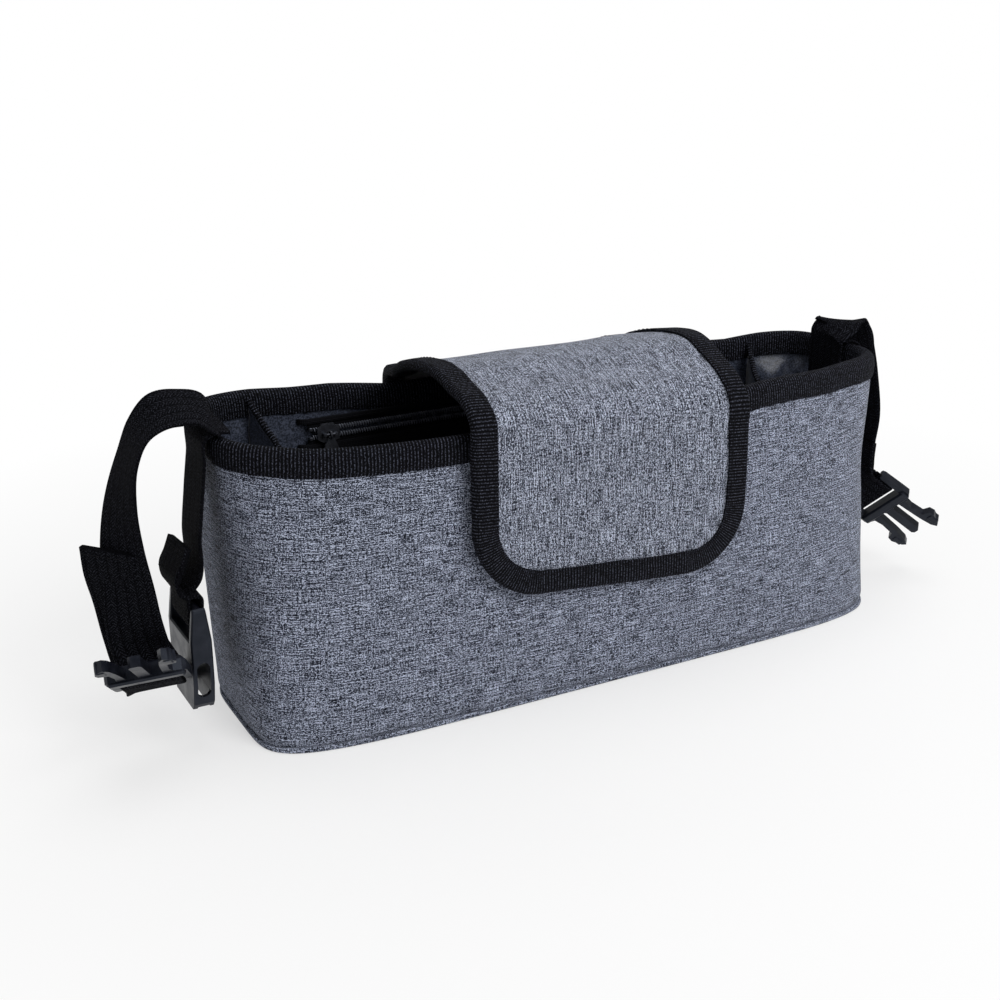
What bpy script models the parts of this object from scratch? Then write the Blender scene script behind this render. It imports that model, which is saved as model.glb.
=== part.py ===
"""Stroller organizer: a padded fabric tub with a front flap, an inner zip pocket, and two straps with
side-release buckles at each end. Metres, +Z up, +X along the length, the front faces -Y, and the
origin is the centre of the underside.
"""
import math

import bmesh
import bpy
import numpy as np
from mathutils import Matrix, Vector

# The tub
BASE_LENGTH = 0.342
BASE_DEPTH = 0.0992
RIM_LENGTH = 0.350
RIM_FRONT_DEPTH = 0.0473
RIM_BACK_DEPTH = 0.0545
HEIGHT = 0.133
BASE_SQUARENESS = 5.75
RIM_FRONT_SQUARENESS = 2.33
RIM_BACK_SQUARENESS = 5.4
RING_POINTS = 72

# Cloth layers
LAYER_GAP = 0.0003
WALL_THICKNESS = 0.003
LINING_THICKNESS = 0.0008
BASE_PANEL_THICKNESS = 0.0025
BASE_BOARD_THICKNESS = 0.0015
TAPE_WIDTH = 0.0117
TAPE_THICKNESS = 0.0010

# Dividers
DIVIDER_THICKNESS = 0.0020
DIVIDER_BACK_X = 0.146
DIVIDER_FRONT_X = 0.106
DIVIDER_TOP_BELOW_RIM = 0.0055
DIVIDER_SAG = 0.013
PIPING_RADIUS = 0.0014

# Flap
FLAP_WIDTH = 0.1455
FLAP_CENTRE_X = -0.0058
FLAP_THICKNESS = 0.0012
FLAP_LINING_THICKNESS = 0.0008
FLAP_CORNER_RADIUS = 0.034
FLAP_ARCH_HEIGHT = 0.0165
FLAP_BOTTOM_Z = 0.0515
FLAP_SEAM_LENGTH = 0.020
FLAP_STAND_OFF = 0.0010
FLAP_STEPS = 24
FLAP_CORNER_STEPS = 7
PATCH_WIDTH = 0.050
PATCH_HEIGHT = 0.018
PATCH_THICKNESS = 0.0008
PATCH_Z = 0.0765

# Inner zip pocket on the back wall
POCKET_HALF_LENGTH = 0.118
POCKET_BELOW_TAPE = 0.0007
POCKET_TOP_Z = HEIGHT - TAPE_WIDTH - POCKET_BELOW_TAPE
POCKET_BOTTOM_Z = 0.030
POCKET_SIDE_WIDTH = 0.0038
ZIP_BELOW_POCKET_TOP = 0.0074
ZIP_Z = POCKET_TOP_Z - ZIP_BELOW_POCKET_TOP
ZIP_TAPE_THICKNESS = 0.0006
CHAIN_SHORTER = 0.0065
CHAIN_HALF_LENGTH = POCKET_HALF_LENGTH - CHAIN_SHORTER
CORD_WIDTH = 0.0009
TOOTH_PITCH = 0.0030
TOOTH_WIDTH = 0.0015
TOOTH_REACH = 0.0016
TOOTH_THICKNESS = 0.0016
CHAIN_GAP = 0.0014
SLIDER_LENGTH = 0.0110
SLIDER_WIDTH = 0.0088
SLIDER_PLATE = 0.0011
LIP_WIDTH = 0.0008
SLIDER_FROM_END = 0.0070
SLIDER_REST_X = SLIDER_FROM_END - CHAIN_HALF_LENGTH
BAIL_RADIUS = 0.0006
EYE_RADIUS = 0.0017
EYE_WIRE = 0.0005
PULL_LENGTH = 0.017
PULL_WIDTH = 0.0075
PULL_THICKNESS = 0.0013

# Webbing and buckles
WEBBING_WIDTH = 0.025
WEBBING_THICKNESS = 0.0015
SEAM_LENGTH = 0.020
BUCKLE_WIDTH = 0.033
BUCKLE_THICKNESS = 0.0092
BUCKLE_WALL = 0.0018
SOCKET_LENGTH = 0.0325
SOCKET_DEPTH = 0.026
WINDOW_LENGTH = 0.0165
WINDOW_HEIGHT = 0.0058
LADDER_BAR_RADIUS = 0.0017
LADDER_SLOT = 0.0052
LADDER_END_SLOT = 0.0045
PRONG_LENGTH = 0.025
PRONG_WIDTH = 0.0030
PRONG_THICKNESS = 0.0046
BARB_WIDTH = 0.0062
BARB_LENGTH = 0.0100
GUIDE_WIDTH = 0.0050
MALE_BLOCK_LENGTH = 0.0055

PARTS = bpy.data.collections.new("stroller_organizer")
CUTTERS = bpy.data.collections.new("stroller_organizer_cutters")


def clear_scene():
    for thing in list(bpy.data.objects):
        bpy.data.objects.remove(thing, do_unlink=True)
    for collection in (PARTS, CUTTERS):
        bpy.context.scene.collection.children.link(collection)


def principled(name, colour, roughness, metallic=0.0):
    """A material of one colour, with the part's roughness and metallic value."""
    made = bpy.data.materials.new(name)
    made.use_nodes = True
    shader = made.node_tree.nodes["Principled BSDF"]
    shader.inputs["Base Color"].default_value = (*colour, 1.0)
    shader.inputs["Roughness"].default_value = roughness
    shader.inputs["Metallic"].default_value = metallic
    return made


MELANGE = principled("grey_melange_fabric", (0.115, 0.118, 0.135), 0.95)
NYLON = principled("black_nylon_lining", (0.014, 0.014, 0.020), 0.55)
POCKET_CLOTH = principled("black_pocket_cloth", (0.012, 0.012, 0.016), 0.8)
GROSGRAIN = principled("black_grosgrain_tape", (0.010, 0.010, 0.013), 0.85)
WEB = principled("black_webbing", (0.011, 0.011, 0.015), 0.8)
PLASTIC = principled("black_buckle_plastic", (0.020, 0.020, 0.024), 0.4)
ZIP_COIL = principled("black_zip_coil", (0.016, 0.016, 0.018), 0.35)
ZIP_METAL = principled("black_painted_zip_metal", (0.018, 0.018, 0.020), 0.3, 0.4)
HOOK_AND_LOOP = principled("black_hook_and_loop", (0.010, 0.010, 0.012), 1.0)
BOARD = principled("grey_stiffener_board", (0.35, 0.35, 0.36), 0.6)


def add_part(name, mesh, material, collection=PARTS):
    part = bpy.data.objects.new(name, mesh)
    collection.objects.link(part)
    if material is not None:
        mesh.materials.append(material)
    return part


def mesh_of(name, points, faces):
    """A mesh from points and faces, with its normals made consistent and facing out."""
    mesh = bpy.data.meshes.new(name)
    mesh.from_pydata([tuple(point) for point in points], [], faces)
    work = bmesh.new()
    work.from_mesh(mesh)
    bmesh.ops.recalc_face_normals(work, faces=work.faces)
    work.to_mesh(mesh)
    work.free()
    mesh.shade_smooth()
    mesh.set_sharp_from_angle(angle=math.radians(35))
    return mesh


def closed_sweep(name, rings, material):
    """A body whose section, closed like the rings themselves, is carried all the way round.

    Each face is split from its lower corner nearer the middle to its upper corner nearer the end, so
    that layers lying on each other turn the same way and the two ends mirror each other.
    """
    count = len(rings[0])
    faces = []
    for i in range(len(rings)):
        following = (i + 1) % len(rings)
        for j in range(count):
            after = (j + 1) % count
            a, b, c, d = i * count + j, i * count + after, following * count + after, following * count + j
            goes_up = rings[i][j][2] <= rings[following][j][2]
            low = rings[i] if goes_up else rings[following]
            outwards = abs(low[j][0]) <= abs(low[after][0])
            if goes_up == outwards:
                faces += [(a, b, c), (a, c, d)]
            else:
                faces += [(a, b, d), (b, c, d)]
    return add_part(name, mesh_of(name, np.concatenate(rings), faces), material)


def capped_loft(name, rings, material):
    """A body lofted through closed rings, with a flat cap on the first and the last."""
    count = len(rings[0])
    faces = [tuple(range(count)), tuple((len(rings) - 1) * count + j for j in range(count))]
    for i in range(len(rings) - 1):
        for j in range(count):
            after = (j + 1) % count
            faces.append((i * count + j, i * count + after, (i + 1) * count + after, (i + 1) * count + j))
    return add_part(name, mesh_of(name, np.concatenate(rings), faces), material)


def sheet(name, rows, thickness, material):
    """A cloth panel: an open grid of points, given its thickness evenly on both sides."""
    count = len(rows[0])
    faces = []
    for i in range(len(rows) - 1):
        for j in range(count - 1):
            faces.append((i * count + j, i * count + j + 1, (i + 1) * count + j + 1, (i + 1) * count + j))
    panel = add_part(name, mesh_of(name, np.concatenate(rows), faces), material)
    solid = panel.modifiers.new("thickness", "SOLIDIFY")
    solid.thickness = thickness
    solid.offset = 0.0
    solid.use_even_offset = True
    return panel


def spline_through(points, steps):
    """Points on a smooth curve through the given points, with the same number of steps in each span.

    Its slope at each point weighs the two spans beside it by their lengths, which are measured over the
    first three numbers of a point; any further numbers follow along.
    """
    given = np.array(points, dtype=float)
    spans = np.linalg.norm(np.diff(given[:, :3], axis=0), axis=1)[:, None]
    rates = np.diff(given, axis=0) / spans
    inner = (rates[:-1] * spans[1:] + rates[1:] * spans[:-1]) / (spans[1:] + spans[:-1])
    slopes = np.vstack([rates[0], inner, rates[-1]])
    curve = []
    for i in range(len(spans)):
        start, end = given[i], given[i + 1]
        leaving, arriving = slopes[i] * spans[i], slopes[i + 1] * spans[i]
        for step in range(steps):
            t = step / steps
            curve.append(start * (1 + 2 * t) * (1 - t) ** 2 + leaving * t * (1 - t) ** 2
                         + end * t ** 2 * (3 - 2 * t) - arriving * t ** 2 * (1 - t))
    curve.append(given[-1])
    return np.array(curve)


def as_mesh(curve_object):
    """The object of a curve or a modified mesh as one plain mesh with its caps welded."""
    view = bpy.context.evaluated_depsgraph_get()
    mesh = bpy.data.meshes.new_from_object(curve_object.evaluated_get(view))
    work = bmesh.new()
    work.from_mesh(mesh)
    bmesh.ops.remove_doubles(work, verts=work.verts, dist=0.000001)
    bmesh.ops.recalc_face_normals(work, faces=work.faces)
    work.to_mesh(mesh)
    work.free()
    name = curve_object.name
    place = curve_object.matrix_world.copy()
    collection = curve_object.users_collection[0]
    bpy.data.objects.remove(curve_object, do_unlink=True)
    plain = bpy.data.objects.new(name, mesh)
    plain.matrix_world = place
    collection.objects.link(plain)
    return plain


def plate(name, outline, thickness, material, collection=PARTS):
    """A flat outline in the local XZ plane, with its thickness along local Y."""
    curve = bpy.data.curves.new(name, "CURVE")
    curve.dimensions = "2D"
    curve.fill_mode = "BOTH"
    curve.extrude = thickness / 2
    spline = curve.splines.new("POLY")
    spline.points.add(len(outline) - 1)
    for point, (x, z) in zip(spline.points, outline):
        point.co = (x, z, 0.0, 1.0)
    spline.use_cyclic_u = True
    flat = bpy.data.objects.new(name, curve)
    collection.objects.link(flat)
    bpy.context.view_layer.update()
    solid = as_mesh(flat)
    solid.data.transform(Matrix.Rotation(math.pi / 2, 4, "X"))
    if material is not None:
        solid.data.materials.clear()
        solid.data.materials.append(material)
    return solid


def rod(name, radius, length, axis, centre, collection=CUTTERS, sides=12):
    """A round bar with its middle at a point, along local X, Y or Z."""
    mesh = bpy.data.meshes.new(name)
    work = bmesh.new()
    bmesh.ops.create_cone(work, cap_ends=True, segments=sides, radius1=radius, radius2=radius, depth=length)
    turn = {"X": Matrix.Rotation(math.pi / 2, 4, "Y"), "Y": Matrix.Rotation(math.pi / 2, 4, "X"),
            "Z": Matrix.Identity(4)}[axis]
    bmesh.ops.transform(work, matrix=Matrix.Translation(centre) @ turn, verts=work.verts)
    work.to_mesh(mesh)
    work.free()
    return add_part(name, mesh, None, collection)


def block(name, size, centre, collection=CUTTERS, bevel=0.0):
    """A box with its middle at a point, with its edges rounded where a bevel is given."""
    mesh = bpy.data.meshes.new(name)
    work = bmesh.new()
    bmesh.ops.create_cube(work, size=1.0)
    bmesh.ops.scale(work, vec=size, verts=work.verts)
    bmesh.ops.translate(work, vec=centre, verts=work.verts)
    work.to_mesh(mesh)
    work.free()
    made = add_part(name, mesh, None, collection)
    if bevel > 0.0:
        rounded = made.modifiers.new("rounded_edges", "BEVEL")
        rounded.width = bevel
        rounded.segments = 1
    return made


def combine(target, tool, operation):
    """Joins or cuts a part with a helper solid, which stays hidden among the cutters."""
    tool.hide_render = True
    tool.display_type = "WIRE"
    step = target.modifiers.new(tool.name, "BOOLEAN")
    step.operation = operation
    step.solver = "EXACT"
    step.object = tool


# Plan outlines of the tub

def half_outline(half_length, depth, squareness, side, count):
    """Evenly spaced points from one end of the tub to the other along its front or its back."""
    angle = np.linspace(0.0, math.pi, 721)
    power = 2.0 / squareness
    x = half_length * np.sign(np.cos(angle)) * np.abs(np.cos(angle)) ** power
    y = side * depth * np.abs(np.sin(angle)) ** power
    run = np.concatenate([[0.0], np.cumsum(np.hypot(np.diff(x), np.diff(y)))])
    wanted = np.linspace(0.0, run[-1], count + 1)
    return np.stack([np.interp(wanted, run, x), np.interp(wanted, run, y)], axis=1)


def outline(half_length, front, back, front_squareness, back_squareness):
    half = RING_POINTS // 2
    behind = half_outline(half_length, back, back_squareness, 1.0, half)
    ahead = half_outline(half_length, front, front_squareness, -1.0, half)
    return np.vstack([behind[:-1], ahead[::-1][:-1]])


BASE_OUTLINE = outline(BASE_LENGTH / 2, BASE_DEPTH / 2, BASE_DEPTH / 2, BASE_SQUARENESS, BASE_SQUARENESS)
RIM_OUTLINE = outline(RIM_LENGTH / 2, RIM_FRONT_DEPTH, RIM_BACK_DEPTH,
                      RIM_FRONT_SQUARENESS, RIM_BACK_SQUARENESS)


def tub_ring(z, inset):
    """The tub's outline at one height, moved inwards by the inset."""
    share = z / HEIGHT
    ring = (1.0 - share) * BASE_OUTLINE + share * RIM_OUTLINE
    along = np.roll(ring, -1, axis=0) - np.roll(ring, 1, axis=0)
    along /= np.linalg.norm(along, axis=1)[:, None]
    inward = np.stack([-along[:, 1], along[:, 0]], axis=1)
    moved = ring + inward * inset
    return np.column_stack([moved, np.full(len(moved), z)])


def tub_sweep(name, section, material):
    """A closed body that follows the tub all round, from a section of insets and heights."""
    return closed_sweep(name, [tub_ring(z, inset) for inset, z in section], material)


def wall_section(outer, inner, bottom):
    """A wall layer's section, with a level where the rim's tape begins so that both follow one surface."""
    heights = [bottom, (bottom + TAPE_BOTTOM) / 2, TAPE_BOTTOM, WALL_TOP]
    return [(outer, z) for z in heights] + [(inner, z) for z in heights[::-1]]


def ring_crossings(ring, start, direction):
    """Where a straight line in plan crosses a closed ring: the two distances along it, in order."""
    across = np.array([-direction[1], direction[0]])
    side = (ring[:, :2] - start) @ across
    reach = (ring[:, :2] - start) @ direction
    found = []
    for i in range(len(ring)):
        j = (i + 1) % len(ring)
        if side[i] * side[j] < 0.0:
            share = side[i] / (side[i] - side[j])
            found.append(reach[i] + share * (reach[j] - reach[i]))
    return min(found), max(found)


# Insets and heights of the layers, from the outside in and from the floor up
LINING_OUTER = WALL_THICKNESS + LAYER_GAP
LINING_INNER = LINING_OUTER + LINING_THICKNESS
INSIDE = LINING_INNER + LAYER_GAP
WALL_BOTTOM = BASE_PANEL_THICKNESS + LAYER_GAP
WALL_TOP = HEIGHT - TAPE_THICKNESS - LAYER_GAP
BOARD_TOP = WALL_BOTTOM + BASE_BOARD_THICKNESS
FLOOR_BOTTOM = BOARD_TOP + LAYER_GAP
FLOOR_TOP = FLOOR_BOTTOM + LINING_THICKNESS
LINING_BOTTOM = FLOOR_TOP + LAYER_GAP
TAPE_BOTTOM = HEIGHT - TAPE_WIDTH
TAPE_OUTSIDE = -(LAYER_GAP + TAPE_THICKNESS)
TAPE_INSIDE = LINING_INNER + LAYER_GAP + TAPE_THICKNESS


def build_tub():
    tub_sweep("outer_wall", wall_section(0.0, WALL_THICKNESS, WALL_BOTTOM), MELANGE)
    tub_sweep("lining_wall", wall_section(LINING_OUTER, LINING_INNER, LINING_BOTTOM), NYLON)
    edge = BASE_PANEL_THICKNESS / 3
    capped_loft("base_panel", [tub_ring(0.0, edge), tub_ring(edge, 0.0),
                               tub_ring(BASE_PANEL_THICKNESS, 0.0)], MELANGE)
    capped_loft("base_board", [tub_ring(WALL_BOTTOM, LINING_OUTER), tub_ring(BOARD_TOP, LINING_OUTER)], BOARD)
    capped_loft("lining_floor", [tub_ring(FLOOR_BOTTOM, LINING_OUTER),
                                 tub_ring(FLOOR_TOP, LINING_OUTER)], NYLON)
    fold = TAPE_THICKNESS
    tub_sweep("rim_binding", [
        (TAPE_OUTSIDE, TAPE_BOTTOM), (TAPE_OUTSIDE, HEIGHT - fold), (TAPE_OUTSIDE + fold, HEIGHT),
        (TAPE_INSIDE - fold, HEIGHT), (TAPE_INSIDE, HEIGHT - fold), (TAPE_INSIDE, TAPE_BOTTOM),
        (TAPE_INSIDE - TAPE_THICKNESS, TAPE_BOTTOM), (TAPE_INSIDE - TAPE_THICKNESS, HEIGHT - TAPE_THICKNESS),
        (TAPE_OUTSIDE + TAPE_THICKNESS, HEIGHT - TAPE_THICKNESS), (TAPE_OUTSIDE + TAPE_THICKNESS, TAPE_BOTTOM),
    ], GROSGRAIN)


def build_divider(side, name):
    """A soft wall across the tub, slack along its piped top edge. side is -1 at the left and 1 at the right."""
    back = np.array([side * DIVIDER_BACK_X, RIM_BACK_DEPTH])
    front = np.array([side * DIVIDER_FRONT_X, -RIM_FRONT_DEPTH])
    direction = (front - back) / np.linalg.norm(front - back)
    corner_room = 0.5 * DIVIDER_THICKNESS * abs(direction[0] / direction[1])
    steps = 8
    top_z = HEIGHT - TAPE_WIDTH - LAYER_GAP - DIVIDER_TOP_BELOW_RIM
    rows = []
    levels = 5
    for level in range(levels):
        row = []
        for step in range(steps + 1):
            along = step / steps
            crest = top_z - DIVIDER_SAG * 4.0 * along * (1.0 - along)
            z = LINING_BOTTOM + (crest - LINING_BOTTOM) * level / (levels - 1)
            near, far = ring_crossings(tub_ring(z, INSIDE + corner_room), back, direction)
            spot = back + direction * (near + (far - near) * along)
            row.append((spot[0], spot[1], z))
        rows.append(row)
    sheet(name, [np.array(row) for row in rows], DIVIDER_THICKNESS, NYLON)
    crest_line = np.array(rows[-1]) + np.array([0.0, 0.0, PIPING_RADIUS + LAYER_GAP])
    inward = (crest_line[-1] - crest_line[0]) / np.linalg.norm(crest_line[-1] - crest_line[0])
    crest_line[0] += inward * PIPING_RADIUS * 0.4
    crest_line[-1] -= inward * PIPING_RADIUS * 0.4
    piping(name + "_piping", crest_line, PIPING_RADIUS, GROSGRAIN)


def piping(name, points, radius, material):
    """A round piping along a line of points."""
    curve = bpy.data.curves.new(name, "CURVE")
    curve.dimensions = "3D"
    curve.bevel_depth = radius
    curve.bevel_resolution = 2
    curve.use_fill_caps = True
    spline = curve.splines.new("POLY")
    spline.points.add(len(points) - 1)
    for point, place in zip(spline.points, points):
        point.co = (*place, 1.0)
    made = bpy.data.objects.new(name, curve)
    PARTS.objects.link(made)
    bpy.context.view_layer.update()
    solid = as_mesh(made)
    solid.data.materials.append(material)
    return solid


# Flap

def flap_path():
    """The flap's run in the YZ plane, outer face, from the back seam over the top to the lower edge."""
    stack = FLAP_LINING_THICKNESS + LAYER_GAP + TAPE_THICKNESS + LAYER_GAP
    back_y = RIM_BACK_DEPTH - TAPE_OUTSIDE + 2 * LAYER_GAP + stack
    front_y = -(RIM_FRONT_DEPTH - TAPE_OUTSIDE + stack + LAYER_GAP)
    hang_y = front_y - FLAP_STAND_OFF
    top_z = HEIGHT + FLAP_ARCH_HEIGHT
    knots = [
        (back_y, HEIGHT - FLAP_SEAM_LENGTH), (back_y, HEIGHT), (back_y * 0.93, HEIGHT + 0.38 * FLAP_ARCH_HEIGHT),
        (back_y * 0.62, HEIGHT + 0.58 * FLAP_ARCH_HEIGHT), (back_y * 0.34, HEIGHT + 0.83 * FLAP_ARCH_HEIGHT),
        (0.0, top_z), (front_y * 0.32, top_z), (front_y * 0.60, HEIGHT + 0.76 * FLAP_ARCH_HEIGHT),
        (front_y * 0.85, HEIGHT + 0.48 * FLAP_ARCH_HEIGHT), (front_y, HEIGHT), (front_y, HEIGHT - TAPE_WIDTH),
        (hang_y, (HEIGHT + FLAP_BOTTOM_Z) / 2), (hang_y, FLAP_BOTTOM_Z),
    ]
    return spline_through(knots, 3)


FLAP_PATH = flap_path()
FLAP_RUN = np.concatenate([[0.0], np.cumsum(np.linalg.norm(np.diff(FLAP_PATH, axis=0), axis=1))])


def flap_point(across, run, lift):
    """A point of the flap: its distance from the middle, its distance along the run, and how far out."""
    y = np.interp(run, FLAP_RUN, FLAP_PATH[:, 0])
    z = np.interp(run, FLAP_RUN, FLAP_PATH[:, 1])
    reach = 0.004
    before = max(run - reach, 0.0)
    after = min(run + reach, FLAP_RUN[-1])
    slope_y = np.interp(after, FLAP_RUN, FLAP_PATH[:, 0]) - np.interp(before, FLAP_RUN, FLAP_PATH[:, 0])
    slope_z = np.interp(after, FLAP_RUN, FLAP_PATH[:, 1]) - np.interp(before, FLAP_RUN, FLAP_PATH[:, 1])
    size = math.hypot(slope_y, slope_z)
    return (FLAP_CENTRE_X + across, y - lift * slope_z / size * -1.0, z - lift * slope_y / size)


def flap_half_width(run, inset):
    """Half the flap's width at a distance along its run, with its two lower corners rounded."""
    length = FLAP_RUN[-1] - inset
    radius = FLAP_CORNER_RADIUS - inset
    half = FLAP_WIDTH / 2 - inset
    into_corner = max(run - (length - radius), 0.0)
    return half - radius + math.sqrt(max(radius ** 2 - into_corner ** 2, 0.0))


def flap_sheet(name, low, high, inset, material):
    """One layer of the flap, between two lifts from the run, drawn in from its edge by the inset."""
    length = FLAP_RUN[-1] - inset
    straight = np.linspace(0.0, length - (FLAP_CORNER_RADIUS - inset), FLAP_STEPS)
    turn = np.linspace(0.0, math.pi / 2, FLAP_CORNER_STEPS)[1:]
    corner = length - (FLAP_CORNER_RADIUS - inset) * (1.0 - np.sin(turn))
    rows = []
    for run in np.concatenate([straight, corner]):
        half = flap_half_width(run, inset)
        row = [flap_point(across, run, (low + high) / 2) for across in np.linspace(-half, half, 3)]
        rows.append(np.array(row))
    return sheet(name, rows, high - low, material)


def flap_edge():
    """The flap's edge from the top left, round both lower corners, to the top right."""
    length = FLAP_RUN[-1]
    half = FLAP_WIDTH / 2
    radius = FLAP_CORNER_RADIUS
    edge = [(-half, run, -1.0, 0.0) for run in np.linspace(0.0, length - radius, FLAP_STEPS)]
    for angle in np.linspace(0.0, math.pi / 2, FLAP_CORNER_STEPS)[1:]:
        edge.append((-half + radius - radius * math.cos(angle), length - radius + radius * math.sin(angle),
                     -math.cos(angle), math.sin(angle)))
    mirrored = [(-across, run, -out_across, out_run) for across, run, out_across, out_run in edge[::-1]]
    return edge + mirrored


FLAP_UNDER = -(LAYER_GAP + FLAP_LINING_THICKNESS)


def build_flap():
    inset = TAPE_THICKNESS + LAYER_GAP
    flap_sheet("flap_outer", 0.0, FLAP_THICKNESS, inset, MELANGE)
    flap_sheet("flap_lining", FLAP_UNDER, -LAYER_GAP, inset, NYLON)
    top = FLAP_THICKNESS + LAYER_GAP
    under = FLAP_UNDER - LAYER_GAP
    section = [
        (-TAPE_WIDTH, top), (-TAPE_WIDTH, top + TAPE_THICKNESS), (-TAPE_THICKNESS, top + TAPE_THICKNESS),
        (0.0, top), (0.0, under), (-TAPE_THICKNESS, under - TAPE_THICKNESS),
        (-TAPE_WIDTH, under - TAPE_THICKNESS), (-TAPE_WIDTH, under), (-TAPE_THICKNESS, under),
        (-TAPE_THICKNESS, top),
    ]
    rings = []
    for across, run, out_across, out_run in flap_edge():
        rings.append(np.array([flap_point(across + out_across * out, run + out_run * out, lift)
                               for out, lift in section]))
    capped_loft("flap_binding", rings, GROSGRAIN)
    patch_run = FLAP_RUN[-1] - (PATCH_Z - FLAP_BOTTOM_Z)
    place = flap_point(0.0, patch_run, FLAP_UNDER - LAYER_GAP - PATCH_THICKNESS / 2)
    hook = block("flap_hook_patch", (PATCH_WIDTH, PATCH_THICKNESS, PATCH_HEIGHT), place, PARTS)
    hook.data.materials.append(HOOK_AND_LOOP)
    wall_y = min(tub_ring(PATCH_Z - PATCH_HEIGHT / 2, 0.0)[:, 1])
    loop_place = (FLAP_CENTRE_X, wall_y - LAYER_GAP - PATCH_THICKNESS / 2, PATCH_Z)
    loop = block("front_loop_patch", (PATCH_WIDTH, PATCH_THICKNESS, PATCH_HEIGHT), loop_place, PARTS)
    loop.data.materials.append(HOOK_AND_LOOP)


# Zip pocket, laid out in a plane that leans with the back wall

def lining_y(x, z):
    """The inner face of the lining at the back, seen from above."""
    ring = tub_ring(z, LINING_INNER)
    behind = ring[ring[:, 1] > 0.0]
    order = np.argsort(behind[:, 0])
    return float(np.interp(x, behind[order, 0], behind[order, 1]))


ZIP_FACE_Y = lining_y(POCKET_HALF_LENGTH, ZIP_Z) - LAYER_GAP
ZIP_LEAN = math.atan2(lining_y(POCKET_HALF_LENGTH, POCKET_TOP_Z) - lining_y(POCKET_HALF_LENGTH, POCKET_BOTTOM_Z),
                      POCKET_TOP_Z - POCKET_BOTTOM_Z)
BACK_PLATE_LIFT = LAYER_GAP
TAPE_LIFT = BACK_PLATE_LIFT + SLIDER_PLATE + LAYER_GAP
TEETH_LIFT = TAPE_LIFT + ZIP_TAPE_THICKNESS + LAYER_GAP
FRONT_PLATE_LIFT = TEETH_LIFT + TOOTH_THICKNESS + LAYER_GAP
BAIL_LIFT = FRONT_PLATE_LIFT + SLIDER_PLATE + EYE_RADIUS + EYE_WIRE + LAYER_GAP
TOOTH_ROOT = CHAIN_GAP / 2 + TOOTH_REACH
ZIP_PLACE = Matrix.Translation((0.0, ZIP_FACE_Y, ZIP_Z)) @ Matrix.Rotation(-ZIP_LEAN, 4, "X")


def zip_point(x, up, lift):
    """A point of the zip's plane: along it, up it, and lifted from the back wall towards the front."""
    return np.array(ZIP_PLACE @ Vector((x, -lift, up)))


def in_zip_plane(part):
    part.matrix_world = ZIP_PLACE
    return part


def comb_outline(side):
    """One row of teeth as a comb: its cord outside, and its teeth reaching in to the chain's middle."""
    root = side * TOOTH_ROOT
    outside = side * (TOOTH_ROOT + CORD_WIDTH)
    tip = side * CHAIN_GAP / 2
    start = -CHAIN_HALF_LENGTH + (TOOTH_PITCH / 2 if side > 0 else 0.0)
    count = int((CHAIN_HALF_LENGTH - TOOTH_PITCH - start) / TOOTH_PITCH)
    points = [(-CHAIN_HALF_LENGTH, outside), (-CHAIN_HALF_LENGTH, root)]
    for i in range(count):
        left = start + (i + 0.5) * TOOTH_PITCH
        points += [(left, root), (left, tip), (left + TOOTH_WIDTH, tip), (left + TOOTH_WIDTH, root)]
    return points + [(CHAIN_HALF_LENGTH, root), (CHAIN_HALF_LENGTH, outside)]


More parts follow.
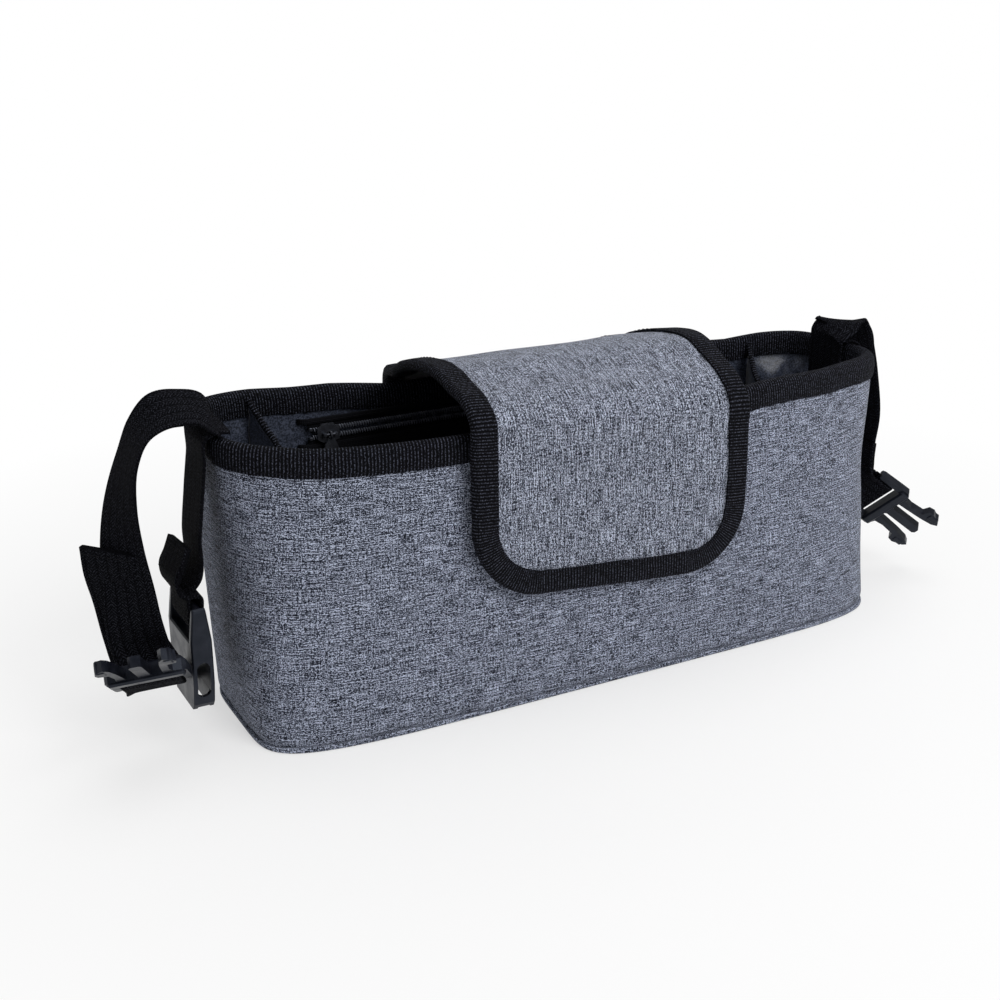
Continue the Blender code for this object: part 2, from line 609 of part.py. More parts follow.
def build_zip():
    up_edge = (POCKET_TOP_Z - ZIP_Z) / math.cos(ZIP_LEAN)
    down_edge = (POCKET_BOTTOM_Z - ZIP_Z) / math.cos(ZIP_LEAN)
    tape_start = CHAIN_GAP / 2 + 0.0012
    overlap_low = TOOTH_ROOT + CORD_WIDTH + LIP_WIDTH + 3 * LAYER_GAP
    tape_low = overlap_low + 0.003
    for name, low, high in (("zip_tape_upper", tape_start, up_edge), ("zip_tape_lower", -tape_low, -tape_start)):
        rows = [[zip_point(x, up, TAPE_LIFT + ZIP_TAPE_THICKNESS / 2)
                 for x in np.linspace(-CHAIN_HALF_LENGTH - 0.002, CHAIN_HALF_LENGTH + 0.002, 3)]
                for up in (low, high)]
        sheet(name, [np.array(row) for row in rows], ZIP_TAPE_THICKNESS, POCKET_CLOTH)
    for name, side in (("zip_teeth_upper", 1), ("zip_teeth_lower", -1)):
        row = plate(name, comb_outline(side), TOOTH_THICKNESS, ZIP_COIL)
        row.data.transform(Matrix.Translation((0.0, -(TEETH_LIFT + TOOTH_THICKNESS / 2), 0.0)))
        in_zip_plane(row)
    panel_lift = TAPE_LIFT + ZIP_TAPE_THICKNESS + LAYER_GAP + LINING_THICKNESS / 2
    edge_lift = LINING_THICKNESS / 2
    full = POCKET_HALF_LENGTH
    shoulder = full - POCKET_SIDE_WIDTH
    stations = [(-full, edge_lift), (-shoulder, panel_lift)]
    stations += [(x, panel_lift) for x in np.linspace(-shoulder, shoulder, 5)[1:-1]]
    stations += [(shoulder, panel_lift), (full, edge_lift)]
    rows = []
    for up, share in ((-overlap_low, 1.0), (-0.020, 1.0), (-0.045, 1.0),
                      (down_edge + 0.008, 1.0), (down_edge, 0.0)):
        rows.append(np.array([zip_point(x, up, edge_lift + (lift - edge_lift) * share) for x, lift in stations]))
    sheet("pocket_panel", rows, LINING_THICKNESS, POCKET_CLOTH)
    strip_low = overlap_low
    strip_high = up_edge
    rows = [np.array([zip_point(x, up, lift) for x, lift in stations]) for up in (strip_low, strip_high)]
    sheet("pocket_top_strip", rows, LINING_THICKNESS, POCKET_CLOTH)
    stop_size = (0.0016, TOOTH_THICKNESS, TOOTH_REACH)
    stop_x = CHAIN_HALF_LENGTH + stop_size[0] / 2 + LAYER_GAP
    for name, x, up in (("zip_top_stop_upper", -stop_x, TOOTH_ROOT), ("zip_top_stop_lower", -stop_x, -TOOTH_ROOT)):
        stop = block(name, stop_size, (x, -(TEETH_LIFT + TOOTH_THICKNESS / 2), up), PARTS, 0.0003)
        stop.data.materials.append(ZIP_METAL)
        in_zip_plane(stop)
    wide = (stop_size[0], TOOTH_THICKNESS, 2 * (TOOTH_ROOT + CORD_WIDTH))
    stop = block("zip_bottom_stop", wide, (stop_x, -(TEETH_LIFT + TOOTH_THICKNESS / 2), 0.0), PARTS, 0.0003)
    stop.data.materials.append(ZIP_METAL)
    in_zip_plane(stop)


def build_slider():
    """The slider's two wings, the post between them, its side lips and the bail that carries the pull."""
    half_length = SLIDER_LENGTH / 2
    half_width = SLIDER_WIDTH / 2
    wing = [(-half_length, half_width * 0.62), (-half_length * 0.55, half_width * 0.95),
            (-half_length * 0.1, half_width), (half_length * 0.5, half_width * 0.86),
            (half_length, half_width * 0.72)]
    outline_points = wing + [(x, -z) for x, z in wing[::-1]]
    slider = plate("zip_slider", outline_points, SLIDER_PLATE, ZIP_METAL)
    slider.data.transform(Matrix.Translation((0.0, -(FRONT_PLATE_LIFT + SLIDER_PLATE / 2), 0.0)))
    back_wing = plate("slider_back_wing", outline_points, SLIDER_PLATE, None, CUTTERS)
    back_wing.data.transform(Matrix.Translation((0.0, -(BACK_PLATE_LIFT + SLIDER_PLATE / 2), 0.0)))
    overlap = SLIDER_PLATE / 2
    post_width = CHAIN_GAP - 2 * LAYER_GAP
    post_low = BACK_PLATE_LIFT + overlap
    post_high = FRONT_PLATE_LIFT + overlap
    post = block("slider_post", (0.0022, post_high - post_low, post_width),
                 (-half_length * 0.55, -(post_low + post_high) / 2, 0.0))
    tools = [back_wing, post]
    lip_inner = TOOTH_ROOT + CORD_WIDTH + LAYER_GAP
    for name, side in (("slider_lip_upper", 1), ("slider_lip_lower", -1)):
        tools.append(block(name, (SLIDER_LENGTH * 0.55, post_high - TEETH_LIFT, LIP_WIDTH),
                           (0.0, -(TEETH_LIFT + post_high) / 2, side * (lip_inner + LIP_WIDTH / 2))))
    bail_half = 0.0028
    bail_foot = FRONT_PLATE_LIFT + overlap
    tools.append(rod("slider_bail", BAIL_RADIUS, 2 * bail_half + 2 * BAIL_RADIUS, "X", (0.0, -BAIL_LIFT, 0.0)))
    for name, side in (("slider_bail_foot_front", 1), ("slider_bail_foot_back", -1)):
        tools.append(block(name, (2 * BAIL_RADIUS, BAIL_LIFT + BAIL_RADIUS - bail_foot, 2 * BAIL_RADIUS),
                           (side * bail_half, -(BAIL_LIFT + BAIL_RADIUS + bail_foot) / 2, 0.0)))
    place = Matrix.Translation((SLIDER_REST_X, 0.0, 0.0))
    for tool in tools:
        tool.matrix_world = ZIP_PLACE @ place
        combine(slider, tool, "UNION")
    slider.matrix_world = ZIP_PLACE @ place
    return slider


def build_pull():
    """A ring eye round the slider's bail with the grip hanging from it, its origin on the bail's axis."""
    hang = EYE_RADIUS - EYE_WIRE - BAIL_RADIUS - LAYER_GAP
    neck = EYE_RADIUS + hang
    half = PULL_WIDTH / 2
    grip = [(-0.0016, -neck), (0.0016, -neck), (half * 0.8, -neck - 0.0030), (half, -neck - 0.0055),
            (half, -neck - PULL_LENGTH + 0.0015), (half - 0.0015, -neck - PULL_LENGTH),
            (-half + 0.0015, -neck - PULL_LENGTH), (-half, -neck - PULL_LENGTH + 0.0015),
            (-half, -neck - 0.0055), (-half * 0.8, -neck - 0.0030)]
    pull = plate("zip_pull", grip, PULL_THICKNESS, ZIP_METAL)
    bpy.ops.mesh.primitive_torus_add(major_segments=20, minor_segments=8, major_radius=EYE_RADIUS,
                                     minor_radius=EYE_WIRE)
    eye = bpy.context.object
    eye.name = "pull_eye"
    for collection in list(eye.users_collection):
        collection.objects.unlink(eye)
    CUTTERS.objects.link(eye)
    eye.data.transform(Matrix.Translation((0.0, 0.0, -hang)) @ Matrix.Rotation(math.pi / 2, 4, "Y"))
    pivot = ZIP_PLACE @ Matrix.Translation((SLIDER_REST_X, -BAIL_LIFT, 0.0))
    upright = Matrix.Translation(pivot.translation)
    eye.matrix_world = upright
    pull.matrix_world = upright
    combine(pull, eye, "UNION")
    return pull


# Webbing and buckles

BAR_CLEAR = LADDER_BAR_RADIUS + LAYER_GAP + WEBBING_THICKNESS / 2
LADDER_WIDTH = WEBBING_WIDTH + 4 * LAYER_GAP
ARM_END = LADDER_BAR_RADIUS * 2 + LADDER_END_SLOT
LADDER_BOTTOM = -(LADDER_BAR_RADIUS + LADDER_SLOT)


def ladder_outline(body_points):
    """A buckle's outline in its own frame: the arms of the strap ladder and, below them, the body.

    The frame's origin is the middle of the bar that the webbing turns round, +Z points up the strap,
    +X along the bar and Y through the buckle's thickness.
    """
    outer = BUCKLE_WIDTH / 2
    inner = LADDER_WIDTH / 2
    right = [(inner, LADDER_BOTTOM), (inner, ARM_END - LADDER_BAR_RADIUS), (inner + 0.0006, ARM_END),
             (outer - 0.0010, ARM_END), (outer - 0.0004, ARM_END - 0.0016), (outer, LADDER_BOTTOM)]
    return right + body_points + [(-x, z) for x, z in right[::-1]]


def taper_arms(part, start, end, share):
    """Thins the buckle evenly from the body up to the ends of its arms."""
    for vertex in part.data.vertices:
        if vertex.co.z > start:
            vertex.co.y *= 1.0 - (1.0 - share) * (vertex.co.z - start) / (end - start)


def add_bars(buckle, name, place):
    for bar, z in (("turning_bar", 0.0), ("end_bar", ARM_END - LADDER_BAR_RADIUS)):
        tool = rod(name + "_" + bar, LADDER_BAR_RADIUS, LADDER_WIDTH + 0.0024, "X", (0.0, 0.0, z))
        tool.matrix_world = place
        combine(buckle, tool, "UNION")


def build_female(name, place):
    """The socket half: a hollow housing with a mouth, a window at each side and a strap ladder."""
    outer = BUCKLE_WIDTH / 2
    bottom = LADDER_BOTTOM - SOCKET_LENGTH
    side = [(outer, LADDER_BOTTOM - 0.009), (outer - 0.0003, LADDER_BOTTOM - 0.020),
            (outer - 0.0022, bottom + 0.0030), (outer - 0.0042, bottom)]
    body = side + [(-x, z) for x, z in side[::-1]]
    buckle = plate(name, ladder_outline(body), BUCKLE_THICKNESS, PLASTIC)
    taper_arms(buckle, LADDER_BOTTOM, ARM_END, 0.62)
    edges = buckle.modifiers.new("soft_edges", "BEVEL")
    edges.width = 0.0006
    edges.segments = 1
    edges.angle_limit = math.radians(40)
    buckle.matrix_world = place
    bore = block(name + "_socket", (BUCKLE_WIDTH - 6 * BUCKLE_WALL + 0.0040, BUCKLE_THICKNESS - 2 * BUCKLE_WALL,
                                    SOCKET_DEPTH + 0.002),
                 (0.0, 0.0, bottom - 0.001 + SOCKET_DEPTH / 2))
    bore.matrix_world = place
    combine(buckle, bore, "DIFFERENCE")
    half = WINDOW_HEIGHT / 2
    middle = bottom + 0.0065 + WINDOW_LENGTH / 2
    window = []
    for i in range(16):
        angle = 2 * math.pi * (i + 0.5) / 16
        shift = WINDOW_LENGTH / 2 - half
        window.append((half * math.cos(angle),
                       middle + half * math.sin(angle) + math.copysign(shift, math.sin(angle))))
    slot = plate(name + "_windows", window, BUCKLE_WIDTH + 0.010, None, CUTTERS)
    slot.data.transform(Matrix.Rotation(math.pi / 2, 4, "Z"))
    slot.matrix_world = place
    combine(buckle, slot, "DIFFERENCE")
    add_bars(buckle, name, place)
    return buckle


def build_male(name, place):
    """The plug half: a strap ladder, a cross block, two springy prongs with barbs and a guide tongue."""
    outer = BUCKLE_WIDTH / 2
    block_end = LADDER_BOTTOM - MALE_BLOCK_LENGTH
    tip = block_end - PRONG_LENGTH
    barb_top = tip + BARB_LENGTH
    arm_out = outer - 0.0050
    guide = GUIDE_WIDTH / 2
    right = [(outer, block_end + 0.0015), (outer - 0.0015, block_end), (arm_out, block_end - 0.0010),
             (arm_out - 0.0008, block_end - 0.0060), (arm_out, barb_top + 0.0012), (outer - 0.0012, barb_top),
             (outer - 0.0006, barb_top - 0.0030), (outer - 0.0030, tip + 0.0015),
             (outer - BARB_WIDTH + 0.0012, tip), (outer - BARB_WIDTH - 0.0006, tip + 0.0030),
             (arm_out - PRONG_WIDTH, barb_top), (arm_out - PRONG_WIDTH - 0.0008, block_end - 0.0060),
             (arm_out - PRONG_WIDTH - 0.0012, block_end - 0.0004), (guide + 0.0008, block_end - 0.0002),
             (guide, block_end - 0.0012), (guide, tip + 0.0052),
             (guide - 0.0012, tip + 0.0040)]
    body = right + [(-x, z) for x, z in right[::-1]]
    buckle = plate(name, ladder_outline(body), PRONG_THICKNESS, PLASTIC)
    buckle.matrix_world = place
    cheek = block(name + "_cross_block", (BUCKLE_WIDTH - 0.0016, BUCKLE_THICKNESS * 0.86, MALE_BLOCK_LENGTH),
                  (0.0, 0.0, LADDER_BOTTOM - MALE_BLOCK_LENGTH / 2 + 0.0002), CUTTERS, 0.0009)
    cheek.matrix_world = place
    combine(buckle, cheek, "UNION")
    for side, label in ((1, "right"), (-1, "left")):
        head = block(name + "_" + label + "_barb", (BARB_WIDTH * 0.62, BUCKLE_THICKNESS * 0.60, BARB_LENGTH * 0.62),
                     (side * (outer - BARB_WIDTH * 0.56), 0.0, tip + BARB_LENGTH * 0.52), CUTTERS, 0.0006)
        head.matrix_world = place
        combine(buckle, head, "UNION")
    add_bars(buckle, name, place)
    return buckle


def buckle_place(turning_bar, down, across):
    """A buckle's frame from where its turning bar lies, which way its tip points and the bar's direction."""
    up = -Vector(down).normalized()
    bar = Vector(across)
    bar = (bar - up * bar.dot(up)).normalized()
    through = up.cross(bar)
    turn = Matrix((bar, through, up)).transposed()
    return Matrix.Translation(turning_bar) @ turn.to_4x4()


def turn_round_bar(place, back_side):
    """The webbing's middle line as it comes down one side of a ladder, round its bar, and up the other."""
    past_ladder = ARM_END + 2 * WEBBING_THICKNESS
    stops = [(back_side * BAR_CLEAR, past_ladder), (back_side * BAR_CLEAR, past_ladder / 2)]
    for step in range(7):
        angle = math.pi * step / 6
        stops.append((back_side * BAR_CLEAR * math.cos(angle), -BAR_CLEAR * math.sin(angle)))
    stops += [(-back_side * BAR_CLEAR, past_ladder / 2), (-back_side * BAR_CLEAR, past_ladder)]
    across = place.to_3x3() @ Vector((1.0, 0.0, 0.0))
    return [(tuple(place @ Vector((0.0, y, z))), tuple(across)) for y, z in stops]


def webbing(name, route, material):
    """A strap swept along its middle line, turning with the direction given for its width at each stop."""
    smooth = spline_through([(*stop, *across) for stop, across in route], 2)
    middle = smooth[:, :3]
    rows = []
    for i, (spot, across) in enumerate(zip(middle, smooth[:, 3:])):
        tangent = middle[min(i + 1, len(middle) - 1)] - middle[max(i - 1, 0)]
        tangent /= np.linalg.norm(tangent)
        across = across - tangent * np.dot(across, tangent)
        across /= np.linalg.norm(across)
        rows.append(np.array([spot + across * WEBBING_WIDTH * share for share in (-0.5, 0.5)]))
    return sheet(name, rows, WEBBING_THICKNESS, material)


TUB_END_X = max(RIM_LENGTH, BASE_LENGTH) / 2
TO_FRONT = (0.0, -1.0, 0.0)


def at_end(side, out, y, below):
    """A place beside an end of the tub: how far out from the end, its Y, and how far below the rim's top."""
    return (side * (TUB_END_X + out), y, HEIGHT - below)


def seam_x(side, y, z):
    """Where a strap lies against the inside of the rim's end, clear of it over the strap's whole width."""
    ring = tub_ring(z, TAPE_INSIDE + LAYER_GAP + WEBBING_THICKNESS / 2)
    end = ring[side * ring[:, 0] > 0.0]
    end = end[np.argsort(end[:, 1])]
    edges = [y - WEBBING_WIDTH / 2 - LAYER_GAP, y + WEBBING_WIDTH / 2 + LAYER_GAP]
    return side * float(np.min(np.interp(edges, end[:, 1], np.abs(end[:, 0]))))


def strap_through(name, before, buckle, main_side, after):
    """A strap from its seam to a buckle, round the buckle's turning bar, and on to its free end."""
    webbing(name, before + turn_round_bar(buckle, main_side) + after, WEB)


def over_rim(side, y):
    """The short strap's start: sewn on top of the rim and folded down its outside."""
    above = -(LAYER_GAP + WEBBING_THICKNESS / 2)
    start = abs(seam_x(side, y, HEIGHT)) + WEBBING_THICKNESS + LAYER_GAP - TUB_END_X
    return [(at_end(side, start, y, above), TO_FRONT), (at_end(side, 0.0, y, above), TO_FRONT),
            (at_end(side, 0.0037, y - 0.0005, 0.0012), TO_FRONT),
            (at_end(side, 0.0050, y - 0.0010, 0.0070), TO_FRONT)]


def inside_rim(side, y):
    """The long strap's start: sewn to the inside of the rim, rising past its top."""
    foot_z = HEIGHT - SEAM_LENGTH
    inside_x = side * min(abs(seam_x(side, y, foot_z)), abs(seam_x(side, y, HEIGHT)))
    return [((inside_x, y, foot_z), TO_FRONT), ((inside_x, y, HEIGHT), TO_FRONT),
            ((inside_x, y, HEIGHT + 2 * WEBBING_THICKNESS), TO_FRONT)]


def build_left_straps():
    female = buckle_place(at_end(-1, 0.0165, -0.0085, 0.0722), (0.0, 0.0, -1.0), TO_FRONT)
    build_female("left_female_buckle", female)
    before = over_rim(-1, 0.0035)
    before += [(at_end(-1, 0.0080, -0.0010, 0.0210), TO_FRONT), (at_end(-1, 0.0112, -0.0045, 0.0370), TO_FRONT),
               (at_end(-1, 0.0133, -0.0075, 0.0530), TO_FRONT)]
    tail = [(at_end(-1, 0.0220, -0.0085, 0.0590), TO_FRONT), (at_end(-1, 0.0235, -0.0080, 0.0520), TO_FRONT),
            (at_end(-1, 0.0205, -0.0075, 0.0455), TO_FRONT), (at_end(-1, 0.0180, -0.0070, 0.0395), TO_FRONT)]
    strap_through("left_short_strap", before, female, -1.0, tail)

    lower = (0.88, -0.41, 0.21)
    male = buckle_place(at_end(-1, 0.0395, -0.0270, 0.0880), (-0.35, -0.72, 0.60), lower)
    build_male("left_male_buckle", male)
    before = inside_rim(-1, 0.0020)
    before += [(at_end(-1, -0.0030, 0.0005, -0.0085), (0.0, -0.97, -0.25)),
               (at_end(-1, 0.0090, -0.0005, -0.0158), (0.0, -0.93, -0.36)),
               (at_end(-1, 0.0195, -0.0025, -0.0160), (0.0, -0.93, -0.36)),
               (at_end(-1, 0.0290, -0.0040, -0.0100), (0.0, -0.98, -0.15)),
               (at_end(-1, 0.0360, -0.0060, 0.0020), (0.08, -0.99, 0.05)),
               (at_end(-1, 0.0409, -0.0090, 0.0192), (0.28, -0.96, 0.04)),
               (at_end(-1, 0.0425, -0.0120, 0.0364), (0.50, -0.86, 0.04)),
               (at_end(-1, 0.0418, -0.0140, 0.0530), (0.66, -0.74, 0.06)),
               (at_end(-1, 0.0410, -0.0140, 0.0700), (0.82, -0.55, 0.12)),
               (at_end(-1, 0.0385, -0.0115, 0.0830), lower)]
    tail = [(at_end(-1, 0.0345, -0.0085, 0.0990), lower), (at_end(-1, 0.0370, -0.0050, 0.0930), lower),
            (at_end(-1, 0.0400, -0.0045, 0.0810), (0.84, -0.50, 0.16)),
            (at_end(-1, 0.0440, -0.0060, 0.0620), (0.76, -0.64, 0.10)),
            (at_end(-1, 0.0475, -0.0085, 0.0480), (0.70, -0.70, 0.08)),
            (at_end(-1, 0.0485, -0.0100, 0.0370), (0.68, -0.72, 0.08))]
    strap_through("left_long_strap", before, male, -1.0, tail)


def build_right_straps():
    female = buckle_place(at_end(1, 0.0155, 0.0290, 0.0730), (0.0, 0.0, -1.0), TO_FRONT)
    build_female("right_female_buckle", female)
    before = over_rim(1, 0.0120)
    before += [(at_end(1, 0.0068, 0.0160, 0.0210), TO_FRONT), (at_end(1, 0.0085, 0.0215, 0.0370), TO_FRONT),
               (at_end(1, 0.0115, 0.0270, 0.0530), TO_FRONT)]
    tail = [(at_end(1, 0.0200, 0.0290, 0.0560), TO_FRONT), (at_end(1, 0.0208, 0.0285, 0.0480), TO_FRONT),
            (at_end(1, 0.0190, 0.0280, 0.0400), TO_FRONT)]
    strap_through("right_short_strap", before, female, -1.0, tail)

    male = buckle_place(at_end(1, 0.0185, -0.0060, 0.0870), (0.70, -0.35, -0.60), (0.10, -0.62, 0.78))
    build_male("right_male_buckle", male)
    before = inside_rim(1, 0.0120)
    before += [(at_end(1, -0.0025, 0.0115, -0.0080), (0.35, -0.93, 0.0)),
               (at_end(1, 0.0045, 0.0100, -0.0085), (0.50, -0.86, 0.0)),
               (at_end(1, 0.0100, 0.0075, -0.0050), (0.45, -0.89, 0.0)),
               (at_end(1, 0.0135, 0.0050, 0.0040), (0.30, -0.95, 0.0)),
               (at_end(1, 0.0150, 0.0010, 0.0210), (0.10, -0.99, 0.0)),
               (at_end(1, 0.0145, -0.0015, 0.0400), (0.02, -0.97, 0.20)),
               (at_end(1, 0.0092, -0.0012, 0.0600), (0.0, -0.88, 0.48)),
               (at_end(1, 0.0096, 0.0008, 0.0710), (0.15, -0.75, 0.62))]
    tail = [(at_end(1, 0.0062, -0.0030, 0.0740), (0.20, -0.75, 0.60)),
            (at_end(1, 0.0066, -0.0025, 0.0650), (0.10, -0.90, 0.40)),
            (at_end(1, 0.0080, -0.0020, 0.0540), TO_FRONT)]
    strap_through("right_long_strap", before, male, 1.0, tail)


def build_all():
    clear_scene()
    build_tub()
    build_divider(-1, "left_divider")
    build_divider(1, "right_divider")
    build_flap()
    build_zip()
    build_slider()
    build_pull()
    build_left_straps()
    build_right_straps()


build_all()
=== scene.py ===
"""Looks of the stroller organizer: woven melange cloth, grosgrain bindings, a wrinkled nylon lining, a coil
zip, herringbone webbing and moulded buckles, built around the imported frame. Metres, +Z up, front at -Y.
"""

import math
import random

import bmesh
import bpy
import numpy as np
from mathutils import Matrix, Vector


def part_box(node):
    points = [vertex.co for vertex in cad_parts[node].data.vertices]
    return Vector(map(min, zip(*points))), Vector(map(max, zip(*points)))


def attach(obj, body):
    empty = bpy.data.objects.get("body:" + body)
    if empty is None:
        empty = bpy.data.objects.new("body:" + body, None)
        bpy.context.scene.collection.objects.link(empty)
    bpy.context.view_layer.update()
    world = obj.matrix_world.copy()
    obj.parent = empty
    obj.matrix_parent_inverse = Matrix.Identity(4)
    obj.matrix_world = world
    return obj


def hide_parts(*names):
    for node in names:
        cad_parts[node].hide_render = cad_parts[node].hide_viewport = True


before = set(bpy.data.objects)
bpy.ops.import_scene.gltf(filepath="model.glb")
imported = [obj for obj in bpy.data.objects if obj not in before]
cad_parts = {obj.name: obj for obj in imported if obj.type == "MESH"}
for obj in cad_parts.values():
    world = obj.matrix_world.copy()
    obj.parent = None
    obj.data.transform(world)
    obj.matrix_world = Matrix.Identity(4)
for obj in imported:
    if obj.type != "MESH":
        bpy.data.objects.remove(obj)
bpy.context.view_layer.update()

# The tub, as in the frame's source
BASE_LENGTH = 0.342
BASE_DEPTH = 0.0992
RIM_LENGTH = 0.350
RIM_FRONT_DEPTH = 0.0473
RIM_BACK_DEPTH = 0.0545
HEIGHT = 0.133
BASE_SQUARENESS = 5.75
RIM_FRONT_SQUARENESS = 2.33
RIM_BACK_SQUARENESS = 5.4
RING_POINTS = 640

# Cloth layers
LAYER_GAP = 0.0003
WALL_THICKNESS = 0.003
LINING_THICKNESS = 0.0008
BASE_PANEL_THICKNESS = 0.0025
BASE_BOARD_THICKNESS = 0.0015
TAPE_WIDTH = 0.0117
TAPE_THICKNESS = 0.0010
LINING_OUTER = WALL_THICKNESS + LAYER_GAP
LINING_INNER = LINING_OUTER + LINING_THICKNESS
INSIDE = LINING_INNER + LAYER_GAP
WALL_BOTTOM = BASE_PANEL_THICKNESS + LAYER_GAP
WALL_TOP = HEIGHT - 0.003
FLOOR_BOTTOM = WALL_BOTTOM + BASE_BOARD_THICKNESS + LAYER_GAP
LINING_BOTTOM = FLOOR_BOTTOM + LINING_THICKNESS + LAYER_GAP
TAPE_BOTTOM = HEIGHT - TAPE_WIDTH
TAPE_OUTSIDE = -(LAYER_GAP + TAPE_THICKNESS)
TAPE_INSIDE = LINING_INNER + LAYER_GAP + TAPE_THICKNESS

# Dividers
DIVIDER_THICKNESS = 0.0012
DIVIDER_BACK_X = 0.146
DIVIDER_FRONT_X = 0.106
DIVIDER_TOP = TAPE_BOTTOM + 0.0068
DIVIDER_SAG = 0.023
PIPING_RADIUS = 0.0014

# Flap
FLAP_WIDTH = 0.1455
FLAP_CENTRE_X = -0.0058
FLAP_THICKNESS = 0.0012
FLAP_LINING_THICKNESS = 0.0008
FLAP_CORNER_RADIUS = 0.034
FLAP_ARCH_HEIGHT = 0.0165
FLAP_BOTTOM_Z = 0.0515
FLAP_SEAM_LENGTH = 0.020
FLAP_STAND_OFF = 0.0010
FLAP_UNDER = -(LAYER_GAP + FLAP_LINING_THICKNESS)
PATCH_WIDTH = 0.050
PATCH_HEIGHT = 0.018
PATCH_THICKNESS = 0.0008
PATCH_Z = 0.0765

# Zip and its pocket
POCKET_HALF_LENGTH = 0.118
POCKET_TOP_Z = 0.1206
POCKET_BOTTOM_Z = 0.030
ZIP_Z = 0.1132
ZIP_TAPE_THICKNESS = 0.0006
CHAIN_HALF_LENGTH = 0.1115
COIL_PITCH = 0.0013
COIL_NEAR = 0.00050
COIL_FAR = 0.0031
COIL_WIRE = 0.00030
SLIDER_PLATE = 0.0011
TOOTH_THICKNESS = 0.0016

# Webbing and buckles
WEBBING_WIDTH = 0.025
WEBBING_THICKNESS = 0.0015
SEAM_LENGTH = 0.020
LADDER_BAR_RADIUS = 0.0017
ARM_END = LADDER_BAR_RADIUS * 2 + 0.0045
BAR_CLEAR = LADDER_BAR_RADIUS + LAYER_GAP + WEBBING_THICKNESS / 2
HEM_LENGTH = 0.016

# Thread
STITCH_LENGTH = 0.0026
STITCH_PITCH = 0.0034
THREAD_RADIUS = 0.00020

# Camera, fitted to the photograph
CAMERA_PLACE = (-0.340, -0.559, 0.3182)
CAMERA_AZIMUTH = -28.51
CAMERA_ELEVATION = 20.39
CAMERA_LENS = 51.67


# Materials

class Material:
    """A node material under construction, with short names for the nodes that these cloths need."""

    def __init__(self, name):
        self.made = bpy.data.materials.new(name)
        self.made.use_nodes = True
        self.tree = self.made.node_tree
        self.shader = self.tree.nodes["Principled BSDF"]

    def put(self, kind, inputs=(), **settings):
        made = self.tree.nodes.new(kind)
        for key, value in settings.items():
            setattr(made, key, value)
        for key, value in dict(inputs).items():
            if isinstance(value, bpy.types.NodeSocket):
                self.tree.links.new(value, made.inputs[key])
            else:
                made.inputs[key].default_value = value
        return made

    def cloth_place(self):
        """Distance along and across the cloth, in metres."""
        return self.put("ShaderNodeTexCoord").outputs["UV"]

    def solid_place(self):
        return self.put("ShaderNodeTexCoord").outputs["Object"]

    def scaled(self, vector, scale, turn=0.0):
        mapping = self.put("ShaderNodeMapping", {"Vector": vector, "Scale": scale, "Rotation": (0.0, 0.0, turn)})
        return mapping.outputs["Vector"]

    def noise(self, vector, detail=2.0, roughness=0.5, scale=1.0):
        made = self.put("ShaderNodeTexNoise", {"Vector": vector, "Scale": scale, "Detail": detail,
                                               "Roughness": roughness})
        return made.outputs["Fac"]

    def sum(self, operation, first, second=0.0):
        return self.put("ShaderNodeMath", {0: first, 1: second}, operation=operation).outputs[0]

    def clamped(self, value, low, high, to_low=0.0, to_high=1.0):
        made = self.put("ShaderNodeMapRange", {"Value": value, "From Min": low, "From Max": high,
                                               "To Min": to_low, "To Max": to_high})
        return made.outputs["Result"]

    def mixed(self, share, first, second, how="MIX"):
        made = self.put("ShaderNodeMix", data_type="RGBA", blend_type=how)
        for key, value in ((0, share), (6, first), (7, second)):
            if isinstance(value, bpy.types.NodeSocket):
                self.tree.links.new(value, made.inputs[key])
            elif key == 0:
                made.inputs[key].default_value = value
            else:
                made.inputs[key].default_value = (*value, 1.0)
        return made.outputs[2]

    def split(self, vector):
        made = self.put("ShaderNodeSeparateXYZ", {"Vector": vector})
        return made.outputs["X"], made.outputs["Y"]

    def ridges(self, value, pitch):
        """A wave from 0 to 1 along a distance."""
        turned = self.sum("MULTIPLY", value, 2.0 * math.pi / pitch)
        wave = self.sum("SINE", turned)
        return self.clamped(wave, -1.0, 1.0)

    def finish(self, colour, roughness, height, depth, sheen=0.0, sheen_roughness=0.5, specular=0.5):
        tree = self.tree
        if isinstance(colour, bpy.types.NodeSocket):
            tree.links.new(colour, self.shader.inputs["Base Color"])
        else:
            self.shader.inputs["Base Color"].default_value = (*colour, 1.0)
        if isinstance(roughness, bpy.types.NodeSocket):
            tree.links.new(roughness, self.shader.inputs["Roughness"])
        else:
            self.shader.inputs["Roughness"].default_value = roughness
        bump = self.put("ShaderNodeBump", {"Height": height, "Strength": 1.0, "Distance": depth})
        tree.links.new(bump.outputs["Normal"], self.shader.inputs["Normal"])
        self.shader.inputs["Sheen Weight"].default_value = sheen
        self.shader.inputs["Sheen Roughness"].default_value = sheen_roughness
        self.shader.inputs["Specular IOR Level"].default_value = specular
        return self.made


